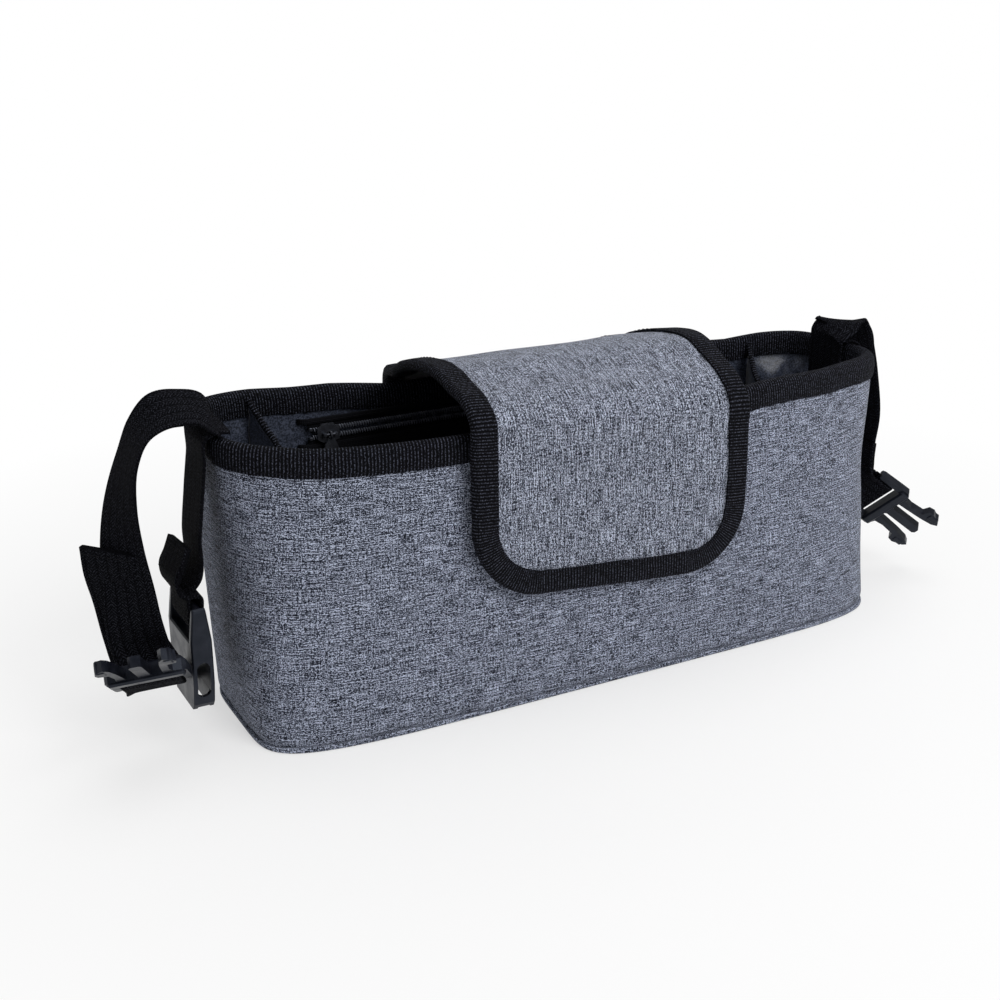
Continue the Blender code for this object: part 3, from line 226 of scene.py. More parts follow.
def melange(name, dark, middle, light):
    """A plain weave of mixed grey yarns: short streaks along the cloth, crossed by fainter ones."""
    work = Material(name)
    place = work.cloth_place()
    dashes = work.noise(work.scaled(place, (850.0, 2700.0, 1.0)), 1.0, 0.5)
    cross_dashes = work.noise(work.scaled(place, (2700.0, 950.0, 1.0)), 1.0, 0.5)
    slubs = work.noise(work.scaled(place, (100.0, 1900.0, 1.0)), 1.0, 0.5)
    cross_slubs = work.noise(work.scaled(place, (1900.0, 140.0, 1.0)), 1.0, 0.5)
    specks = work.noise(work.scaled(place, (2400.0, 2400.0, 1.0)), 1.0, 0.5)
    patches = work.noise(work.scaled(place, (35.0, 60.0, 1.0)), 2.0, 0.5)
    tone = work.sum("MULTIPLY", specks, 0.30)
    for layer, share in ((dashes, 0.27), (cross_dashes, 0.14), (slubs, 0.18), (cross_slubs, 0.11)):
        tone = work.sum("ADD", tone, work.sum("MULTIPLY", layer, share))
    grey = work.mixed(work.clamped(tone, 0.464, 0.507), dark, middle)
    grey = work.mixed(work.clamped(tone, 0.507, 0.550), grey, light)
    grey = work.mixed(work.clamped(patches, 0.3, 0.7, 0.0, 0.12), grey, dark)
    along, across = work.split(place)
    warp = work.ridges(along, 0.00080)
    weft = work.ridges(across, 0.00070)
    weave = work.sum("MULTIPLY", warp, weft)
    height = work.sum("ADD", work.sum("MULTIPLY", weave, 0.5), work.sum("MULTIPLY", tone, 1.2))
    return work.finish(grey, 0.92, height, 0.00022, 0.12, 0.5, 0.12)


def grosgrain(name, pitch=0.0015):
    """Black ribbed tape: the ribs run across it, and its colour carries painted highlights in specks on the rib crests.
    """
    work = Material(name)
    place = work.cloth_place()
    along, across = work.split(place)
    wander = work.noise(work.scaled(place, (90.0, 160.0, 1.0)), 2.0, 0.5)
    shifted = work.sum("ADD", along, work.sum("MULTIPLY", wander, 0.0006))
    ribs = work.ridges(shifted, pitch)
    specks = work.noise(work.scaled(place, (1700.0, 1400.0, 1.0)), 2.0, 0.6)
    weft = work.ridges(across, 0.0007)
    # Painted highlight: specks on the rib crests are lightened in the base colour, standing in for light caught by the
    # yarn.
    painted_highlight = work.sum("MULTIPLY", work.clamped(ribs, 0.45, 0.95), work.clamped(specks, 0.46, 0.62))
    colour = work.mixed(painted_highlight, (0.0004, 0.0004, 0.0014), (0.080, 0.087, 0.120))
    height = work.sum("ADD", ribs, work.sum("MULTIPLY", weft, 0.25))
    height = work.sum("ADD", height, work.sum("MULTIPLY", specks, 0.5))
    return work.finish(colour, 0.86, height, 0.00034, 0.0, 0.4, 0.10)


def herringbone(name):
    """Black webbing: chevron bands along the strap, with a plain selvedge at each edge; the twill's crests carry
    painted highlights in specks.
    """
    work = Material(name)
    place = work.cloth_place()
    across, along = work.split(place)
    band = work.sum("PINGPONG", across, 0.0025)
    slanted = work.sum("ADD", along, work.sum("MULTIPLY", band, 0.9))
    twill = work.ridges(slanted, 0.00135)
    furrow = work.clamped(band, 0.0, 0.0005)
    ladder = work.ridges(along, 0.00225)
    specks = work.noise(work.scaled(place, (1500.0, 1100.0, 1.0)), 2.0, 0.6)
    # Painted highlight: specks on the twill's crests are lightened in the base colour, with none in the furrows between
    # the bands.
    painted_highlight = work.sum("MULTIPLY", twill, work.clamped(specks, 0.42, 0.66))
    painted_highlight = work.sum("MULTIPLY", painted_highlight, furrow)
    colour = work.mixed(painted_highlight, (0.0010, 0.0010, 0.0020), (0.036, 0.038, 0.050))
    height = work.sum("ADD", twill, work.sum("MULTIPLY", furrow, 0.8))
    height = work.sum("ADD", height, work.sum("MULTIPLY", ladder, 0.35))
    height = work.sum("ADD", height, work.sum("MULTIPLY", specks, 0.5))
    return work.finish(colour, 0.84, height, 0.00034, 0.0, 0.4, 0.04)


def nylon(name, colour, other, roughness, crinkle):
    """Coated nylon: a fine weave under a soft gloss, crinkled where the lining is slack."""
    work = Material(name)
    place = work.solid_place()
    folds = work.noise(place, 1.5, 0.5, 48.0)
    small = work.noise(place, 2.0, 0.5, 420.0)
    weave = work.noise(place, 1.0, 0.5, 2600.0)
    ridge = work.sum("ABSOLUTE", work.sum("SUBTRACT", folds, 0.5))
    yarns = work.noise(place, 1.0, 0.5, 1300.0)
    shade = work.mixed(work.clamped(yarns, 0.40, 0.62), colour, other)
    height = work.sum("ADD", work.sum("MULTIPLY", ridge, -2.0 * crinkle), work.sum("MULTIPLY", small, 0.10))
    height = work.sum("ADD", height, work.sum("MULTIPLY", weave, 0.05))
    rough = work.clamped(small, 0.3, 0.7, roughness - 0.07, roughness + 0.07)
    return work.finish(shade, rough, height, 0.0012, 0.15, 0.35, 0.45)


def plain_cloth(name, colour, lighter):
    """The matt pocket cloth and zip tape: a close plain weave."""
    work = Material(name)
    place = work.cloth_place()
    along, across = work.split(place)
    weave = work.sum("MULTIPLY", work.ridges(along, 0.0008), work.ridges(across, 0.0008))
    specks = work.noise(work.scaled(place, (1300.0, 1300.0, 1.0)), 2.0, 0.6)
    shade = work.mixed(work.sum("MULTIPLY", weave, specks), colour, lighter)
    height = work.sum("ADD", weave, work.sum("MULTIPLY", specks, 0.6))
    return work.finish(shade, 0.88, height, 0.00018, 0.0, 0.4, 0.12)


def moulded(name, colour, roughness, grain, metallic=0.0):
    """Moulded plastic or enamelled metal: a satin skin with fine grain and handled, duller spots."""
    work = Material(name)
    place = work.solid_place()
    fine = work.noise(place, 2.0, 0.6, grain)
    wide = work.noise(place, 2.0, 0.5, 160.0)
    paler = tuple(min(1.0, part * 1.7 + 0.006) for part in colour)
    shade = work.mixed(work.clamped(wide, 0.42, 0.72), colour, paler)
    rough = work.clamped(wide, 0.3, 0.7, roughness - 0.07, roughness + 0.09)
    made = work.finish(shade, rough, fine, 0.00004, 0.0, 0.5, 0.30)
    work.shader.inputs["Specular Tint"].default_value = (0.72, 0.82, 1.0, 1.0)
    work.shader.inputs["Metallic"].default_value = metallic
    return made


def thread(name, colour):
    """Twisted sewing thread."""
    work = Material(name)
    place = work.solid_place()
    strands = work.noise(place, 1.0, 0.5, 3500.0)
    paler = tuple(part * 2.2 for part in colour)
    shade = work.mixed(strands, colour, paler)
    return work.finish(shade, 0.75, strands, 0.00005, 0.0, 0.4, 0.12)


def hook_and_loop(name):
    work = Material(name)
    place = work.solid_place()
    fuzz = work.noise(place, 3.0, 0.7, 1800.0)
    shade = work.mixed(fuzz, (0.004, 0.004, 0.005), (0.032, 0.032, 0.038))
    return work.finish(shade, 0.95, fuzz, 0.0003, 0.2, 0.6, 0.2)


def board(name):
    work = Material(name)
    place = work.solid_place()
    grain = work.noise(place, 3.0, 0.6, 500.0)
    shade = work.mixed(grain, (0.27, 0.27, 0.28), (0.36, 0.36, 0.37))
    return work.finish(shade, 0.65, grain, 0.00008)


WALL_MELANGE = melange("wall_melange", (0.006, 0.007, 0.0125), (0.083, 0.096, 0.136), (0.55, 0.60, 0.75))
FLAP_MELANGE = melange("flap_melange", (0.006, 0.007, 0.0125), (0.084, 0.096, 0.132), (0.60, 0.65, 0.79))
GROSGRAIN = grosgrain("black_grosgrain")
WEBBING = herringbone("black_webbing")
LINING = nylon("lining_nylon", (0.0120, 0.0155, 0.0260), (0.068, 0.080, 0.118), 0.42, 0.20)
FLAP_LINING = nylon("flap_lining_nylon", (0.0035, 0.0036, 0.0055), (0.007, 0.007, 0.010), 0.55, 0.25)
POCKET = plain_cloth("pocket_cloth", (0.0030, 0.0030, 0.0045), (0.016, 0.017, 0.023))
PLASTIC = moulded("buckle_plastic", (0.0040, 0.0046, 0.0080), 0.38, 2200.0)
# Partly painted highlight: the colours of the zip coil and of the zip's enamel parts are lightened past their own dark
# colour, standing in for the shine they catch.
COIL_WITH_PAINTED_HIGHLIGHT = moulded("zip_coil_nylon_painted_highlight", (0.085, 0.090, 0.110), 0.26, 3000.0)
ENAMEL_WITH_PAINTED_HIGHLIGHT = moulded("zip_enamel_painted_highlight", (0.055, 0.058, 0.070), 0.22, 1500.0, 0.6)
THREAD = thread("black_thread", (0.0035, 0.0035, 0.0050))
HOOK_AND_LOOP = hook_and_loop("hook_and_loop")
BOARD = board("stiffener_board")


# Making pieces

def dressed(name, mesh, material, replaces=(), body="bag", angle=60.0):
    """A mesh as a finished piece on its body."""
    mesh.materials.append(material)
    mesh.shade_smooth()
    mesh.set_sharp_from_angle(angle=math.radians(angle))
    piece = bpy.data.objects.new(name, mesh)
    bpy.context.scene.collection.objects.link(piece)
    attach(piece, body)
    if replaces:
        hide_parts(*replaces)
    return piece


def grid_mesh(name, points, uv, close_rows=False, close_columns=False, caps=False):
    """A mesh from a grid of points, with its place on the cloth in metres as UVs."""
    rows, columns = points.shape[:2]
    index = np.arange(rows * columns).reshape(rows, columns)
    i, j = np.meshgrid(np.arange(rows if close_rows else rows - 1),
                       np.arange(columns if close_columns else columns - 1), indexing="ij")
    following, after = (i + 1) % rows, (j + 1) % columns
    quads = np.stack([index[i, j], index[i, after], index[following, after], index[following, j]], axis=-1)
    corners = np.stack([uv[i, j], uv[i, j + 1], uv[i + 1, j + 1], uv[i + 1, j]], axis=-2).reshape(-1, 2)
    faces = quads.reshape(-1, 4).tolist()
    if caps:
        faces += [index[0].tolist(), index[-1].tolist()]
        corners = np.concatenate([corners, uv[0, :columns], uv[-1, :columns]])
    mesh = bpy.data.meshes.new(name)
    mesh.from_pydata(points.reshape(-1, 3).tolist(), [], faces)
    layer = mesh.uv_layers.new(name="cloth")
    layer.data.foreach_set("uv", corners.astype(np.float32).ravel())
    work = bmesh.new()
    work.from_mesh(mesh)
    bmesh.ops.recalc_face_normals(work, faces=work.faces)
    work.to_mesh(mesh)
    work.free()
    return mesh


def thicken(piece, thickness):
    """Gives an open sheet its thickness, half to each side."""
    solid = piece.modifiers.new("thickness", "SOLIDIFY")
    solid.thickness = thickness
    solid.offset = 0.0
    solid.use_even_offset = False
    return piece


def waves(seed, shortest, longest, count=9):
    """A smooth uneven surface over two distances, about -1 to 1, as a sum of sine waves."""
    chance = random.Random(seed)
    parts = []
    for _ in range(count):
        turn = chance.uniform(0.0, math.pi)
        rate = 2.0 * math.pi / chance.uniform(shortest, longest)
        parts.append((rate * math.cos(turn), rate * math.sin(turn), chance.uniform(0.0, 2.0 * math.pi)))

    def height(along, across):
        return sum(np.sin(a * along + b * across + c) for a, b, c in parts) / (0.8 * count ** 0.5 + 0.6)

    return height


def creases(seed, length, turn):
    """Creased folds, 0 to 1, with rounded crests and sharp valleys, running at an angle."""
    bend = waves(seed, length * 2.0, length * 5.0)
    swell = waves(seed + 1, length * 2.5, length * 6.0)

    def height(along, across):
        run = along * math.cos(turn) + across * math.sin(turn) + bend(along, across) * length * 0.55
        return np.abs(np.sin(math.pi * run / length)) * (0.55 + 0.45 * swell(along, across))

    return height


def faded(value, start, end):
    """0 before start and 1 after end, smooth between them."""
    share = np.clip((value - start) / (end - start), 0.0, 1.0)
    return share * share * (3.0 - 2.0 * share)


def stitch_row(name, spots, tangents, normals, length=STITCH_LENGTH, body="bag"):
    """Sewn thread: one small capsule for each stitch, its ends dipping into the cloth."""
    share = np.array([-0.5, -0.46, -0.30, 0.0, 0.30, 0.46, 0.5])
    girth = np.array([0.35, 0.75, 1.0, 1.0, 1.0, 0.75, 0.35])
    dip = -1.2 * (2.0 * share) ** 4
    turn = 2.0 * math.pi * np.arange(6) / 6.0
    sides = np.cross(tangents, normals)
    middle = (spots[:, None, :] + tangents[:, None, :] * (share * length)[None, :, None]
              + normals[:, None, :] * (dip * THREAD_RADIUS)[None, :, None])
    radius = (girth * THREAD_RADIUS)[None, :, None, None]
    ring = (sides[:, None, None, :] * np.cos(turn)[None, None, :, None]
            + normals[:, None, None, :] * np.sin(turn)[None, None, :, None])
    points = middle[:, :, None, :] + ring * radius
    count, levels, around = points.shape[:3]
    index = np.arange(count * levels * around).reshape(count, levels, around)
    after = np.roll(index, -1, axis=2)
    quads = np.stack([index[:, :-1], after[:, :-1], after[:, 1:], index[:, 1:]], axis=-1).reshape(-1, 4).tolist()
    ends = index[:, 0, ::-1].tolist() + index[:, -1].tolist()
    mesh = bpy.data.meshes.new(name)
    mesh.from_pydata(points.reshape(-1, 3).tolist(), [], quads + ends)
    return dressed(name, mesh, THREAD, body=body)


def spaced(line, pitch, closed=False):
    """Places at even distances along a line of points, and the line's direction at each."""
    points = np.vstack([line, line[:1]]) if closed else line
    run = np.concatenate([[0.0], np.cumsum(np.linalg.norm(np.diff(points, axis=0), axis=1))])
    count = max(2, int(run[-1] / pitch))
    wanted = (np.arange(count) + 0.5) * run[-1] / count
    spots = np.stack([np.interp(wanted, run, points[:, k]) for k in range(3)], axis=1)
    step = pitch * 0.3
    ahead = np.stack([np.interp(wanted + step, run, points[:, k]) for k in range(3)], axis=1)
    behind = np.stack([np.interp(wanted - step, run, points[:, k]) for k in range(3)], axis=1)
    tangents = ahead - behind
    return spots, tangents / np.linalg.norm(tangents, axis=1)[:, None]


def unit(vectors):
    return vectors / np.linalg.norm(vectors, axis=-1, keepdims=True)


def spline_through(points, steps):
    """Points on a smooth curve through the given points, with the same number of steps in each span."""
    given = np.array(points, dtype=float)
    spans = np.linalg.norm(np.diff(given[:, :3], axis=0), axis=1)[:, None]
    rates = np.diff(given, axis=0) / spans
    inner = (rates[:-1] * spans[1:] + rates[1:] * spans[:-1]) / (spans[1:] + spans[:-1])
    slopes = np.vstack([rates[0], inner, rates[-1]])
    curve = []
    for i in range(len(spans)):
        start, end = given[i], given[i + 1]
        leaving, arriving = slopes[i] * spans[i], slopes[i + 1] * spans[i]
        for step in range(steps):
            t = step / steps
            curve.append(start * (1 + 2 * t) * (1 - t) ** 2 + leaving * t * (1 - t) ** 2
                         + end * t ** 2 * (3 - 2 * t) - arriving * t ** 2 * (1 - t))
    curve.append(given[-1])
    return np.array(curve)


# The tub's outline in plan

def half_outline(half_length, depth, squareness, side, count):
    angle = np.linspace(0.0, math.pi, 2881)
    power = 2.0 / squareness
    x = half_length * np.sign(np.cos(angle)) * np.abs(np.cos(angle)) ** power
    y = side * depth * np.abs(np.sin(angle)) ** power
    run = np.concatenate([[0.0], np.cumsum(np.hypot(np.diff(x), np.diff(y)))])
    wanted = np.linspace(0.0, run[-1], count + 1)
    return np.stack([np.interp(wanted, run, x), np.interp(wanted, run, y)], axis=1)


def outline(half_length, front, back, front_squareness, back_squareness):
    half = RING_POINTS // 2
    behind = half_outline(half_length, back, back_squareness, 1.0, half)
    ahead = half_outline(half_length, front, front_squareness, -1.0, half)
    return np.vstack([behind[:-1], ahead[::-1][:-1]])


BASE_OUTLINE = outline(BASE_LENGTH / 2, BASE_DEPTH / 2, BASE_DEPTH / 2, BASE_SQUARENESS, BASE_SQUARENESS)
RIM_OUTLINE = outline(RIM_LENGTH / 2, RIM_FRONT_DEPTH, RIM_BACK_DEPTH,
                      RIM_FRONT_SQUARENESS, RIM_BACK_SQUARENESS)
RING_RUN = np.concatenate([[0.0], np.cumsum(np.linalg.norm(
    np.diff(np.vstack([RIM_OUTLINE, RIM_OUTLINE[:1]]), axis=0), axis=1))])
AROUND = RING_RUN[:-1]


def tub_ring(z, inset=0.0):
    """The tub's outline at one height, moved inwards by the inset. Both may differ from point to point."""
    share = (np.asarray(z) / HEIGHT * np.ones(RING_POINTS))[:, None]
    ring = (1.0 - share) * BASE_OUTLINE + share * RIM_OUTLINE
    reach = 3
    along = unit(np.roll(ring, -reach, axis=0) - np.roll(ring, reach, axis=0))
    inward = np.stack([-along[:, 1], along[:, 0]], axis=1)
    moved = ring + inward * (np.asarray(inset) * np.ones(RING_POINTS))[:, None]
    return np.column_stack([moved, np.asarray(z) * np.ones(RING_POINTS)])


def rim_lift(x, y):
    """How far the soft rim stands above or below its level: high at the left end, dipped beside the flap."""
    behind = np.interp(x, (-0.175, -0.16, -0.14, -0.12, -0.10, -0.085, -0.07, 0.11, 0.13, 0.15, 0.165, 0.175),
                       (0.0062, 0.0060, 0.0050, 0.0030, 0.0016, -0.0005, -0.0026, -0.0030, -0.0036, -0.0020,
                        -0.0013, -0.0006))
    ahead = np.interp(x, (-0.175, -0.165, -0.14, -0.08, 0.0, 0.08, 0.11, 0.14, 0.165, 0.175),
                      (0.0022, 0.0010, -0.0010, -0.0008, 0.0, 0.0016, 0.0008, 0.0002, -0.0012, -0.0012))
    share = faded(y, -0.030, 0.030)
    return ahead + (behind - ahead) * share


def settled(points):
    """Points of the tub after the rim has taken its own lie, which fades out down the wall."""
    x, y, z = points[..., 0], points[..., 1], points[..., 2]
    height = faded(z, 0.050, 0.126)
    pulled = 0.0058 * faded(x, 0.140, 0.172) * (1.0 - faded(y, -0.024, 0.012)) * faded(z, 0.075, 0.133)
    tucked = 0.0024 * faded(x, 0.110, 0.170) * (1.0 - faded(z, 0.070, 0.120))
    return np.stack([x + pulled - tucked, y, z + rim_lift(x, y) * height], axis=-1)


def tub_piece(name, section, material, replaces):
    """A closed skin all round the tub, from a section of insets and heights."""
    points = settled(np.stack([tub_ring(z, inset) for inset, z in section]))
    path = np.array([[float(np.mean(inset)), float(np.mean(z))] for inset, z in section])
    climb = np.concatenate([[0.0], np.cumsum(np.linalg.norm(np.diff(np.vstack([path, path[:1]]), axis=0), axis=1))])
    uv = np.stack(np.meshgrid(RING_RUN, climb), axis=-1)
    return dressed(name, grid_mesh(name, points, uv, True, True), material, replaces)


def build_wall():
    """The padded cloth wall: a little fuller at mid height, and puckered beside its two seams."""
    swell = waves(3, 0.045, 0.130)
    ripple = waves(5, 0.010, 0.022)
    levels = np.concatenate([np.linspace(WALL_BOTTOM, 0.012, 8)[:-1], np.linspace(0.012, 0.108, 30)[:-1],
                             np.linspace(0.108, WALL_TOP, 9)])
    section = []
    for z in levels:
        share = (z - WALL_BOTTOM) / (WALL_TOP - WALL_BOTTOM)
        full = 0.0011 * math.sin(math.pi * share) ** 0.8 if 0.0 < share < 1.0 else 0.0
        seam = math.exp(-(z - WALL_BOTTOM) / 0.006) + math.exp(-max(TAPE_BOTTOM - z, 0.0) / 0.006)
        edge = 0.0011 * (1.0 - faded(z, WALL_BOTTOM, WALL_BOTTOM + 0.0035))
        inset = edge - full - 0.00050 * math.sin(math.pi * min(max(share, 0.0), 1.0)) * swell(AROUND, z)
        inset = inset + 0.00022 * seam * ripple(AROUND, z * 0.4)
        inset = np.maximum(inset, 0.0) if z > TAPE_BOTTOM - 0.0015 else inset
        section.append((inset, z))
    for z in (WALL_TOP, 0.090, 0.045, WALL_BOTTOM):
        section.append((WALL_THICKNESS - 0.0002, z))
    wall = tub_piece("wall_cloth", section, WALL_MELANGE, ["outer_wall"])
    return wall


def build_rim_tape():
    """Grosgrain folded over the rim, sewn through at its lower edges."""
    drift = waves(11, 0.035, 0.090)
    pucker = waves(12, 0.006, 0.012)
    fold_z = HEIGHT - 0.0040
    centre = (TAPE_OUTSIDE + TAPE_INSIDE) / 2
    reach = (TAPE_INSIDE - TAPE_OUTSIDE) / 2
    section = []
    low = TAPE_BOTTOM
    lift = 0.00045 * drift(AROUND, 0.0)
    for outside, sign in ((True, 1.0), (False, -1.0)):
        width = reach if outside else reach - TAPE_THICKNESS
        rise = HEIGHT - fold_z - (0.0 if outside else TAPE_THICKNESS)
        faces = []
        for z in np.linspace(low, fold_z, 8)[:-1]:
            share = (z - low) / (fold_z - low)
            soft = 0.00018 * pucker(AROUND, z) * (1.0 - share) + 0.00035 * math.sin(math.pi * share)
            faces.append((soft, z, share))
        outer_side = [(centre - width - (soft if outside else 0.0), z + lift * 0.7) for soft, z, share in faces]
        inner_side = [(centre + width + (soft if outside else 0.0), z + lift * 0.7) for soft, z, share in faces]
        arch = []
        for angle in np.linspace(math.pi, 0.0, 11):
            arch.append((centre + width * math.cos(angle), fold_z + rise * math.sin(angle) + lift * 0.7))
        run = outer_side + arch + inner_side[::-1]
        section += run if outside else run[::-1]
    tape = tub_piece("rim_tape", section, GROSGRAIN, ["rim_binding"])
    for name, inset in (("rim_stitches_outside", TAPE_OUTSIDE - 0.0003), ("rim_stitches_inside", TAPE_INSIDE + 0.0003)):
        line = settled(tub_ring(low + 0.0017 + lift * 0.7, inset))
        spots, tangents = spaced(line, STITCH_PITCH, closed=True)
        away = unit(np.cross(tangents, np.array([0.0, 0.0, 1.0])))
        stitch_row(name, spots, tangents, away if inset < 0.0 else -away)
    return tape


def build_lining():
    """The nylon lining: smooth behind the pocket, slack and wrinkled elsewhere."""
    tall = creases(21, 0.019, 0.45)
    small = creases(25, 0.013, -0.5)
    ring = tub_ring(HEIGHT * 0.6)
    behind_pocket = (1.0 - faded(np.abs(ring[:, 0]), 0.140, 0.152)) * (ring[:, 1] > 0.0)
    loose = 1.0 - behind_pocket
    section = []
    for z in np.linspace(LINING_BOTTOM, WALL_TOP, 40):
        share = (z - LINING_BOTTOM) / (WALL_TOP - LINING_BOTTOM)
        slack = faded(share, 0.0, 0.12) * (1.0 - faded(share, 0.86, 0.92))
        bulge = 0.0060 * tall(AROUND, z) + 0.0016 * small(AROUND, z)
        section.append((LINING_INNER + np.maximum(bulge, 0.0) * slack * loose, z))
    for z in (WALL_TOP, 0.065, LINING_BOTTOM):
        section.append((LINING_OUTER, z))
    lining = tub_piece("lining_cloth", section, LINING, ["lining_wall"])
    return lining


def plan_disc(name, ring_levels, material, replaces):
    """A flat panel over the tub's plan, closed below and above."""
    points = settled(np.stack([tub_ring(z, inset) for inset, z in ring_levels]))
    shares = (0.93, 0.72, 0.45, 0.18)
    stack = [points[0] * [share, share, 1.0] for share in shares[::-1]] + list(points)
    stack += [points[-1] * [share, share, 1.0] for share in shares]
    stack = np.stack(stack)
    climb = np.concatenate([[0.0], np.cumsum(np.linalg.norm(np.diff(stack[:, 0], axis=0), axis=1))])
    uv = np.stack(np.meshgrid(RING_RUN, climb), axis=-1)
    return dressed(name, grid_mesh(name, stack, uv, False, True, True), material, replaces)


def build_floor_layers():
    edge = BASE_PANEL_THICKNESS / 3
    base = plan_disc("base_cloth", [(edge, 0.0), (edge * 0.3, edge * 0.3), (0.0, edge), (0.0, BASE_PANEL_THICKNESS * 0.8),
                                    (edge * 0.4, BASE_PANEL_THICKNESS)],
                     WALL_MELANGE, ["base_panel"])
    floor = plan_disc("floor_lining_cloth", [(LINING_OUTER, FLOOR_BOTTOM), (LINING_OUTER, FLOOR_BOTTOM + LINING_THICKNESS)],
                      LINING, ["lining_floor"])


def ring_crossings(ring, start, direction):
    across = np.array([-direction[1], direction[0]])
    side = (ring[:, :2] - start) @ across
    reach = (ring[:, :2] - start) @ direction
    found = []
    for i in range(len(ring)):
        j = (i + 1) % len(ring)
        if side[i] * side[j] < 0.0:
            share = side[i] / (side[i] - side[j])
            found.append(reach[i] + share * (reach[j] - reach[i]))
    return min(found), max(found)


def build_divider(side, name):
    """A slack nylon wall across the tub: its folds fan out from where it is sewn in."""
    back = np.array([side * DIVIDER_BACK_X, RIM_BACK_DEPTH])
    front = np.array([side * DIVIDER_FRONT_X, -RIM_FRONT_DEPTH])
    direction = (front - back) / np.linalg.norm(front - back)
    facing = np.array([-direction[1], direction[0], 0.0])
    steps, levels = 56, 34
    folds = creases(31 + side, 0.024, 0.55 * side)
    lean = waves(41 + side, 0.05, 0.11)
    rows, places = [], []
    for level in range(levels):
        row, place = [], []
        for step in range(steps + 1):
            along = step / steps
            crest = DIVIDER_TOP - DIVIDER_SAG * 4.0 * along * (1.0 - along)
            z = LINING_BOTTOM + (crest - LINING_BOTTOM) * level / (levels - 1)
            past_tape = (TAPE_THICKNESS + LAYER_GAP) * float(faded(z, TAPE_BOTTOM - 0.006, TAPE_BOTTOM - 0.001))
            near, far = ring_crossings(tub_ring(z, INSIDE + 0.0005 + past_tape), back, direction)
            spot = back + direction * (near + (far - near) * along)
            run = near + (far - near) * along
            free = math.sin(math.pi * along) ** 0.6 * faded(level / (levels - 1), 0.0, 0.25)
            push = 0.0045 * float(folds(run, z)) - 0.0018 + 0.0040 * float(lean(run, z))
            row.append(np.array([spot[0], spot[1], z]) + facing * push * free)
            place.append((run, z))
        rows.append(row)
        places.append(place)
    points = settled(np.array(rows))
    cloth = dressed(name + "_cloth", grid_mesh(name + "_cloth", points, np.array(places)), LINING,
                    [name])
    thicken(cloth, DIVIDER_THICKNESS)
    crest_line = points[-1] + np.array([0.0, 0.0, PIPING_RADIUS * 0.6])
    edge = tube(name + "_edge", crest_line, PIPING_RADIUS, GROSGRAIN, [name + "_piping"])
    return cloth


def tube(name, line, radius, material, replaces=(), sides=10, squash=1.0):
    """A round edge along a line of points, with closed ends."""
    tangents = unit(np.gradient(line, axis=0))
    up = np.array([0.0, 0.0, 1.0])
    side = unit(np.cross(tangents, up))
    over = np.cross(side, tangents)
    turn = 2.0 * math.pi * np.arange(sides) / sides
    rings = (line[:, None, :] + side[:, None, :] * (radius * np.cos(turn))[None, :, None]
             + over[:, None, :] * (radius * squash * np.sin(turn))[None, :, None])
    run = np.concatenate([[0.0], np.cumsum(np.linalg.norm(np.diff(line, axis=0), axis=1))])
    uv = np.stack(np.meshgrid(np.linspace(0.0, 2 * math.pi * radius, sides + 1), run), axis=-1)[:, :, ::-1]
    return dressed(name, grid_mesh(name, rings, uv, False, True, True), material, replaces)


# Flap

def flap_path():
    stack = FLAP_LINING_THICKNESS + LAYER_GAP + TAPE_THICKNESS + LAYER_GAP
    back_y = RIM_BACK_DEPTH - TAPE_OUTSIDE + 2 * LAYER_GAP + stack
    front_y = -(RIM_FRONT_DEPTH - TAPE_OUTSIDE + stack + LAYER_GAP)
    hang_y = front_y - FLAP_STAND_OFF
    top_z = HEIGHT + FLAP_ARCH_HEIGHT + 0.0010
    knots = [
        (back_y, HEIGHT - FLAP_SEAM_LENGTH), (back_y, HEIGHT - 0.004),
        (back_y * 0.94, HEIGHT + 0.08 * FLAP_ARCH_HEIGHT),
        (back_y * 0.62, HEIGHT + 0.40 * FLAP_ARCH_HEIGHT), (back_y * 0.34, HEIGHT + 0.80 * FLAP_ARCH_HEIGHT),
        (0.0, top_z), (front_y * 0.32, top_z), (front_y * 0.60, HEIGHT + 0.78 * FLAP_ARCH_HEIGHT),
        (front_y * 0.85, HEIGHT + 0.48 * FLAP_ARCH_HEIGHT), (front_y, HEIGHT), (front_y, HEIGHT - TAPE_WIDTH),
        (hang_y, (HEIGHT + FLAP_BOTTOM_Z) / 2), (hang_y, FLAP_BOTTOM_Z),
    ]
    return spline_through(knots, 12)


FLAP_PATH = flap_path()
FLAP_RUN = np.concatenate([[0.0], np.cumsum(np.linalg.norm(np.diff(FLAP_PATH, axis=0), axis=1))])
FLAP_LENGTH = float(FLAP_RUN[-1])
FLAP_BODY = waves(61, 0.035, 0.090)


